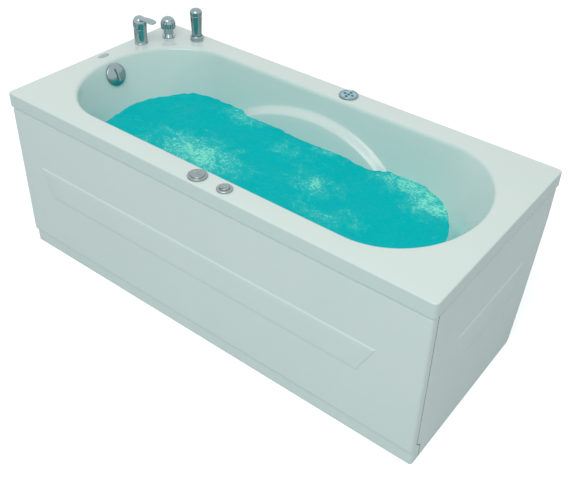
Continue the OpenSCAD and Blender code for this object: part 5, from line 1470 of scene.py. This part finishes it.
@dataclass(frozen=True)
class RimControls:
    """Keypad on the back rim, air knob and pump button on the front rim, plate at the foot."""

    # Keypad: distance of the outer keys, and radii of the keys' bores, the well and the film
    spread: float = 14.0
    key_bore: float = 4.6
    well_r: float = 22.0
    film_r: float = 24.5
    # Sharpest angle that is still shaded smooth beside the keys' bores, the groove and the notch
    sharp: float = 30.0
    plate_at: Pair = (-722.0, 9.0)

    def keypad(self) -> None:
        """Bezel ring and film round the keys, and the key caps."""
        place = deck_place(PAD_X, DECK_Y)
        spots = {name: place @ Matrix.Translation((x * self.spread, y * self.spread, 0))
                 for name, x, y in (("middle", 0, 0), ("left", -1, 0), ("right", 1, 0),
                                    ("front", 0, -1), ("back", 0, 1))}
        bezel = turned_piece("pad_bezel_dressed", [
            (0, -32, 0), (24, -32, 0.8), (24, 0.2, 0), (30.6, 0.2, 0.3), (31, 2.4, 1.2),
            (29.6, 6.2, 2.0), (27.4, 7.0, 1.2), (25.6, 5.0, 0.8), (24.4, 4.5, 0.4), (0, 4.6, 0)],
            place, 84)
        drill(bezel, place, self.well_r, (-30, 1.5), 48)
        for spot in spots.values():
            drill(bezel, spot, self.key_bore, (0, 7), sharp=self.sharp)
        for finish in (BEZEL, KEY_FILM):
            bezel.data.materials.append(finish.material())
        for polygon in bezel.data.polygons:
            x, y, z = (c / MM for c in polygon.center)
            inside = math.hypot(x - PAD_X, y - DECK_Y) < self.film_r and z > RIM + 2
            polygon.material_index = int(inside and polygon.normal.z > 0.6)
        dress(bezel, BEZEL, TUB, ["pad_bezel"])
        for name, spot in spots.items():
            key = turned_piece(f"key_{name}_dressed", [
                (0, -1.2, 0), (5.5, -1.2, 0.2), (5.5, 1.2, 0.2), (4.5, 1.2, 0.1), (4.5, 5.6, 0.7),
                (3.6, 6.2, 0.6), (0, 5.9, 0)], spot, 32)
            dress(key, KEYS, f"pad_button_{name}", [f"pad_button_{name}"])

    def air_knob(self) -> None:
        """Flat knob with a raised disc and a finger groove."""
        place = deck_place(AIR_X, -DECK_Y)
        knob = turned_piece("air_knob_dressed", [
            (0, -12, 0), (5, -12, 0.4), (5, 2.5, 0), (20.5, 2.5, 0), (20.5, 0.2, 0),
            (27.6, 0.2, 0.4), (28, 2.5, 1.2), (26.6, 6.3, 1.8), (21.4, 6.0, 0.7),
            (20.2, 5.4, 0.4), (19.6, 8.0, 0.9), (17.5, 9.0, 1.0), (0, 9.3, 0)], place, 84)
        groove = [[(x, half * math.cos(t), 9.6 + half * 0.75 * math.sin(t))
                   for t in round_angles(20)]
                  for x, half in ((-15.0, 0.6), (-12.0, 2.6), (0.0, 3.2), (12.0, 2.6), (15.0, 0.6))]
        combine(knob, mesh_object("groove", loft(groove), place), "DIFFERENCE", self.sharp)
        dress(knob, DULL_CHROME, "air_knob", ["air_knob"])

    def pump_button(self) -> None:
        """Bezel of the pump button with its hose stub, and the cap with a notch."""
        place = deck_place(BUTTON_X, -DECK_Y)
        bezel = turned_piece("button_body_dressed", [
            (0, -50, 0), (15, -50, 0.6), (15, 0.2, 0), (22.2, 0.2, 0.3), (22.5, 2.2, 1.0),
            (20.8, 5.3, 1.6), (15.2, 5.6, 0.8), (13.2, 4.4, 0.6), (13.1, -12, 0), (6.0, -12, 0),
            (6.0, -46, 0), (0, -46, 0)], place)
        stub = turned_piece("button_stub", [(1.6, -62, 0), (4, -62, 0.4), (4, -49.5, 0),
                                            (1.6, -49.5, 0)], place, 24, closed=True)
        stub.parent = bezel
        stub.data.materials.append(DULL_CHROME.material())
        dress(bezel, DULL_CHROME, TUB, ["button_body"])
        button = turned_piece("push_button_dressed", [
            (0, -30, 0), (5.8, -30, 0.5), (5.8, -7, 0), (12.9, -7, 0.4), (13.0, 6.4, 1.0),
            (11.6, 7.4, 0.8), (0, 7.8, 0)], place, 60)
        notch = turned_piece("notch", [(0, -3, 0), (4.6, -3, 0), (5.2, 3, 0), (0, 3, 0)],
                             place @ Matrix.Translation((0, -11.5, 9)), 32)
        combine(button, notch, "DIFFERENCE", self.sharp)
        dress(button, DULL_CHROME, "push_button", ["push_button"])

    def plate(self) -> None:
        """Plain oval plate on the deck behind the overflow."""
        place = deck_place(*self.plate_at) @ Matrix.Diagonal((0.5, 1.0, 1.0, 1.0))
        plate = turned_piece("deck_plate", [(0, -0.2, 0), (21.5, -0.2, 0), (22, 0.6, 0.4),
                                            (20.5, 1.4, 0.6), (0, 1.7, 0)], place, 64)
        dress(plate, PLATE, TUB)

    def build(self) -> None:
        """All the controls."""
        self.keypad()
        self.air_knob()
        self.pump_button()
        self.plate()


@dataclass(frozen=True)
class Hoses:
    """Braided hoses under the deck with their crimped ends."""

    radius: float = 6.0
    sleeve: float = 7.0
    wide_sleeve: float = 8.0
    ferrule: float = 14.0
    steps: int = 6
    top: float = 519.8
    mixer_route: tuple[Triple, ...] = (
        (-696, 163, 517.8), (-696, 163, 500), (-697, 161, 470), (-698, 158, 440),
        (-693, 172, 408), (-684, 205, 394), (-674, 240, 406), (-669, 257, 438),
        (-670, 254, 470), (-670, 251, 500), (-670, 251, 517.8))
    filler_route: tuple[Triple, ...] = (
        (-662.2058, 264.5, 517.8), (-662, 264, 500), (-655, 262, 465), (-645, 248, 432),
        (-640, 215, 412), (-645, 170, 412), (-660, 130, 435), (-678, 108, 468),
        (-687, 90, 500), (-687.486, 70, 512.108), (-687.486, 56, 515.108),
        (-687.486, 42, 515.108))
    shower_route: tuple[Triple, ...] = (
        (-677.7942, 264.5, 517.8), (-678, 265, 500), (-678, 265, 420), (-678, 265, 330),
        (-678, 265, 240), (-675, 266, 185), (-662, 272, 147), (-630, 284, 130),
        (-597, 297, 147), (-582, 303, 185), (-578, 305, 240), (-578, 305, 330),
        (-578, 305, 420), (-578, 305, 500), (-578, 305, 518))

    def ring_end(self, name: str, place: Matrix, wide: float, body: str = TUB,
                 pin: bool = True) -> None:
        """Makes the crimped end of a hose.

        Args:
            name: the piece's name.
            place: frame at the end's face, with +Z out of the hose.
            wide: radius of the crimped sleeve.
            body: CAD body that it rides on.
            pin: the end has a nipple.
        """
        r = self.radius
        tip = [(4, 0, 0), (4, 9.5, 0.5), (0, 10, 0)] if pin else [(0, 0, 0)]
        end = turned_piece(name, [
            (0, -self.ferrule, 0), (r + 0.3, -self.ferrule, 0), (wide, -12.6, 0.5),
            (wide - 0.5, -11, 0.3), (wide - 0.5, -4, 0.3), (wide, -3, 0.3),
            (wide, -0.1, 0.3)] + tip, place, 32)
        dress(end, ZINC, body, ())

    def hose(self, name: str, route: Sequence[Triple]) -> Object:
        """One hose along its route, not dressed yet."""
        return tube_object(f"{name}_dressed", smooth_path(route, self.steps), self.radius)

    def build(self) -> None:
        """All three hoses."""
        for name, route in (("mixer_hose", self.mixer_route), ("filler_hose", self.filler_route)):
            dress(self.hose(name, route), BRAID, TUB, [name])
        for name, at, turn in (("mixer", (-696, 163, self.top), 0),
                               ("diverter", (-670, 251, self.top), 0),
                               ("filler", (-662.2058, 264.5, self.top), 0),
                               ("overflow", (-687.486, 40.2, 515.108), 90),
                               ("shower", (-677.7942, 264.5, self.top), 0)):
            self.ring_end(f"hose_end_{name}", Matrix.Translation(at) @ Matrix.Rotation(
                math.radians(turn), 4, "X"), self.sleeve)
        self.ring_end("hose_end_handset", Matrix.Translation((-578, 305, 523.8)),
                      self.wide_sleeve, "handset", pin=False)
        hose = self.hose("shower_hose", self.shower_route)
        hose.data.materials.append(BRAID.material())
        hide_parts("shower_hose")
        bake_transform(hose)
        LOG.info("shower_hose_dressed bends from the tub to the handset")


@dataclass(frozen=True)
class Water:
    """The bath's contents, which aren't part of the tub: churned water with foam."""

    level: float = 415.0
    tuck: float = 2.0
    rings: int = 70
    wave: float = 9.0
    # Half length of the middle line that the rings spread from
    spine: float = 330.0
    reach: float = 12.0
    # Length of each kind of wave, its place in the noise and its share of the height
    waves: tuple[Triple, ...] = ((95, 1.7, 1.0), (24, 5.1, 0.45), (9, 8.3, 0.16))
    # Middle of each foaming place and its reach in metres, and how dense the foam is
    foam_places: tuple[tuple[float, float, float, float, float], ...] = (
        (-0.25, -0.055, 0.22, 0.11, 1.0), (-0.29, 0.205, 0.10, 0.05, 0.75),
        (0.05, 0.205, 0.11, 0.04, 0.55), (-0.03, 0.13, 0.12, 0.06, 0.55),
        (0.14, 0.03, 0.13, 0.09, 0.6), (0.27, -0.07, 0.12, 0.07, 0.55),
        (0.35, 0.215, 0.13, 0.07, 1.0), (0.455, 0.175, 0.10, 0.09, 1.1))

    def outline(self, shell: TubShell, height: float) -> list[Pair]:
        """Line round the basin's wall at a height, a little inside the sheet.

        Args:
            shell: the tub's shell.
            height: height in millimetres.

        Returns:
            One place for each of the shell's columns.
        """
        line = []
        for col in shell.columns():
            wall = [shell.basin_point(col, row, self.tuck) for row in shell.rows()]
            for high, low in zip(wall, wall[1:]):
                if high[2] >= height >= low[2]:
                    t = (high[2] - height) / max(high[2] - low[2], 1e-6)
                    line.append((high[0] + (low[0] - high[0]) * t,
                                 high[1] + (low[1] - high[1]) * t))
                    break
        return line

    def lift(self, x: float, y: float) -> float:
        """Height of the waves at a place."""
        return sum(share * self.wave * noise.noise(Vector((x / size, y / size, seed)))
                   for size, seed, share in self.waves)

    def build(self, shell: TubShell) -> None:
        """The water's surface in the basin, whose edge follows the wall as it rises.

        Args:
            shell: the tub's shell.
        """
        edge = self.outline(shell, self.level)
        raised = self.outline(shell, self.level + self.reach)
        points: list[Triple] = []
        for i in range(self.rings + 1):
            t = i / self.rings
            for (x, y), (rx, ry) in zip(edge, raised):
                sx = min(max(x, -self.spine), self.spine) * 0.999
                px, py = sx + (x - sx) * t, y * t
                lift = self.lift(px, py)
                out = t ** 4 * lift / self.reach
                points.append((px + (rx - x) * out, py + (ry - y) * out, self.level + lift))
        n = len(edge)
        faces = [(i * n + j, i * n + (j + 1) % n, (i + 1) * n + (j + 1) % n, (i + 1) * n + j)
                 for i in range(self.rings) for j in range(n)]
        water = mesh_object("bath_water", (points, faces), sharp=80.0)
        if water.data.polygons[0].normal.z < 0:
            water.data.flip_normals()
        water.data.materials.append(self.material())
        LOG.info("bath_water stands in the basin")

    def foam(self, tree: bpy.types.NodeTree, where: Socket, swirl: Socket,
             speck: Socket) -> Socket:
        """Foam in soft places: a broad swirl frays them and fine bubbles fill them.

        Args:
            tree: node tree of the material.
            where: coordinates of the object.
            swirl: broad noise of the patches.
            speck: fine noise of the bubbles.

        Returns:
            Share of foam.
        """
        total: Socket | float = 0.0
        for x, y, wide, deep, strength in self.foam_places:
            off = add_node(tree, "Mapping", {"vector_type": "TEXTURE"}, {
                "Vector": where, "Location": (x, y, self.level * MM), "Scale": (wide, deep, 1.0)})
            away = add_node(tree, "VectorMath", {"operation": "LENGTH"}, {0: off.outputs[0]})
            near = add_node(tree, "MapRange", None, {
                "Value": away.outputs["Value"], "From Min": 0.2, "From Max": 1.3,
                "To Min": strength, "To Max": 0.0})
            total = add_node(tree, "Math", {"operation": "MAXIMUM"}, {
                0: near.outputs["Result"], 1: total}).outputs[0]
        add = {"operation": "MULTIPLY_ADD"}
        drive = add_node(tree, "Math", add, {0: total, 1: 0.46, 2: swirl})
        soft = add_node(tree, "MapRange", None, {
            "Value": drive.outputs[0], "From Min": 0.60, "From Max": 1.0}).outputs["Result"]
        dense = add_node(tree, "Math", add, {0: soft, 1: 0.16, 2: speck})
        bubbles = add_node(tree, "MapRange", None, {
            "Value": dense.outputs[0], "From Min": 0.58, "From Max": 0.68})
        weight = add_node(tree, "Math", add, {0: soft, 1: 0.55, 2: 0.30})
        veil = add_node(tree, "Math", {"operation": "MULTIPLY"}, {0: soft, 1: 0.16})
        return add_node(tree, "Math", {**add, "use_clamp": True}, {
            0: bubbles.outputs["Result"], 1: weight.outputs[0], 2: veil.outputs[0]}).outputs[0]

    def material(self) -> bpy.types.Material:
        """Turquoise bath water: clear deep colour, with pale foam where the jets churn it, and a
        painted glow.

        Returns:
            The material.
        """
        made = bpy.data.materials.new("bath_water_foaming")
        tree = empty_tree(made)
        where = add_node(tree, "TexCoord").outputs["Object"]
        swirl, speck, tone = (
            add_node(tree, "TexNoise", None, {"Vector": where, **marks}).outputs["Fac"]
            for marks in ({"Scale": 1000 / 52, "Detail": 6.0, "Roughness": 0.62,
                           "Distortion": 0.8},
                          {"Scale": 1000 / 8, "Detail": 8.0, "Roughness": 0.82},
                          {"Scale": 1000 / 120, "Detail": 3.0}))
        foam = self.foam(tree, where, swirl, speck)
        deep = add_node(tree, "Mix", {"data_type": "RGBA"}, {
            0: tone, 6: srgb("#00848A"), 7: srgb("#009493")})
        colour = add_node(tree, "Mix", {"data_type": "RGBA"}, {
            0: foam, 6: deep.outputs[2], 7: srgb("#93CFB9")})
        # Painted glow: water and foam emit their turquoise as light, which also tints the walls
        # round them
        glow = add_node(tree, "Mix", {"data_type": "RGBA"}, {
            0: foam, 6: srgb("#00DDE0"), 7: srgb("#00E8D8")})
        rough = add_node(tree, "MapRange", None, {"Value": foam, "To Min": 0.10, "To Max": 0.55})
        bump = add_node(tree, "Bump", None, {
            "Strength": 0.7, "Distance": 2.5 * MM, "Height": speck})
        shader = add_node(tree, "BsdfPrincipled", None, {
            "Base Color": colour.outputs[2], "Roughness": rough.outputs["Result"],
            "Normal": bump.outputs["Normal"], "IOR": 1.33, "Specular IOR Level": 0.04,
            "Emission Color": glow.outputs[2], "Emission Strength": 0.31})
        add_node(tree, "OutputMaterial", None, {"Surface": shader.outputs["BSDF"]})
        return made


@dataclass(frozen=True)
class Studio:
    """White floor, lamp, surroundings and the camera at the photograph's place."""

    # Camera: place and axes in the row frame, focal length and image centre in pixels
    eye: Triple = (1280.373, -1605.26, 1786.7)
    right: Triple = (0.79945, 0.59958, 0.03727)
    up: Triple = (-0.36884, 0.44093, 0.81826)
    focal: float = 820.66
    centre: Pair = (307.893, 192.751)
    image: Pair = (571.0, 477.0)
    sensor: float = 36.0
    clip_end: float = 60.0
    # Square key lamp: place, aim and side in metres, power in watts
    key_at: Triple = (0.8, -2.3, 3.6)
    key_aim: Triple = (0.0, 0.0, 0.4)
    key_side: float = 2.6
    key_power: float = 60.0
    sky: float = 0.62
    floor_half: float = 9000.0
    floor_glow: float = 0.60

    def camera(self) -> None:
        """Camera at the photograph's viewing angle."""
        data = bpy.data.cameras.new("photo_camera")
        data.sensor_fit = "HORIZONTAL"
        data.sensor_width = self.sensor
        data.lens = self.sensor * self.focal / self.image[0]
        data.shift_x = -(self.centre[0] - self.image[0] / 2) / self.image[0]
        data.shift_y = (self.centre[1] - self.image[1] / 2) / self.image[0]
        data.clip_end = self.clip_end
        camera = bpy.data.objects.new("photo_camera", data)
        x, y = Vector(self.right), Vector(self.up)
        turn = Matrix((x, y, x.cross(y))).transposed().to_4x4()
        camera.matrix_world = Matrix.Translation(Vector(self.eye) * MM) @ turn
        bpy.context.scene.collection.objects.link(camera)
        bpy.context.scene.camera = camera

    def lamp(self) -> None:
        """Soft square lamp in front of the tub."""
        data = bpy.data.lights.new("key", "AREA")
        data.size = self.key_side
        data.energy = self.key_power
        lamp = bpy.data.objects.new("key", data)
        aim = Vector(self.key_aim) - Vector(self.key_at)
        lamp.location = self.key_at
        lamp.rotation_euler = aim.to_track_quat("-Z", "Y").to_euler()
        bpy.context.scene.collection.objects.link(lamp)

    def world(self) -> None:
        """Even sky light, which the camera, mirrors and glass see as white."""
        world = bpy.data.worlds.new("studio")
        tree = empty_tree(world)
        path = add_node(tree, "LightPath").outputs
        seen = path["Is Camera Ray"]
        for ray in ("Is Glossy Ray", "Is Transmission Ray"):
            seen = add_node(tree, "Math", {"operation": "ADD", "use_clamp": True}, {
                0: seen, 1: path[ray]}).outputs[0]
        light = add_node(tree, "Background", None, {
            "Color": srgb("#F4F8FA"), "Strength": self.sky})
        white = add_node(tree, "Background", None, {"Color": WHITE, "Strength": 1.0})
        mix = add_node(tree, "MixShader", None, {
            0: seen, 1: light.outputs[0], 2: white.outputs[0]})
        add_node(tree, "OutputWorld", None, {"Surface": mix.outputs[0]})
        bpy.context.scene.world = world

    def floor(self) -> None:
        """White floor that keeps the tub's shadow, and glows a little for the camera."""
        half = self.floor_half
        floor = mesh_object("studio_floor", (
            [(-half, -half, 0), (half, -half, 0), (half, half, 0), (-half, half, 0)],
            [(0, 1, 2, 3)]))
        made = bpy.data.materials.new("studio_paper_white")
        tree = empty_tree(made)
        paper = add_node(tree, "BsdfDiffuse", None, {"Color": srgb("#DADDDD")}).outputs[0]
        glow = add_node(tree, "Emission", None, {"Color": WHITE, "Strength": self.floor_glow})
        both = add_node(tree, "AddShader", None, {0: paper, 1: glow.outputs[0]})
        mix = add_node(tree, "MixShader", None, {
            0: add_node(tree, "LightPath").outputs["Is Camera Ray"], 1: paper,
            2: both.outputs[0]})
        add_node(tree, "OutputMaterial", None, {"Surface": mix.outputs[0]})
        floor.data.materials.append(made)

    def build(self) -> None:
        """Camera, lamp, sky and floor."""
        self.camera()
        self.lamp()
        self.world()
        self.floor()
        bpy.context.scene.view_settings.view_transform = "Standard"


def paint_nodes(nodes: dict[str, Object]) -> None:
    """Gives every CAD node the finish of its real material.

    Args:
        nodes: the frame's nodes by name.
    """
    for finish, names in NODE_FINISHES.items():
        for name in names:
            for slot in nodes[name].material_slots:
                slot.link = "OBJECT"
                slot.material = finish.material()
        LOG.info("%s covers %d nodes", finish.name, len(names))
    left = set(nodes) - {n for names in NODE_FINISHES.values() for n in names}
    if left:
        LOG.warning("nodes without a finish: %s", sorted(left))


def main() -> None:
    """Builds the dressed bathtub."""
    logging.basicConfig(level=logging.INFO, format="%(message)s", stream=sys.stdout)
    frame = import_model()
    studio = Studio()
    studio.build()
    Hoses().build()
    paint_nodes(frame["nodes"])
    shell = TubShell()
    shell.build()
    ApronPanels().build()
    DeckTaps().build()
    OverflowKnob().build()
    RimControls().build()
    Water().build(shell)


if __name__ == "__main__":
    main()
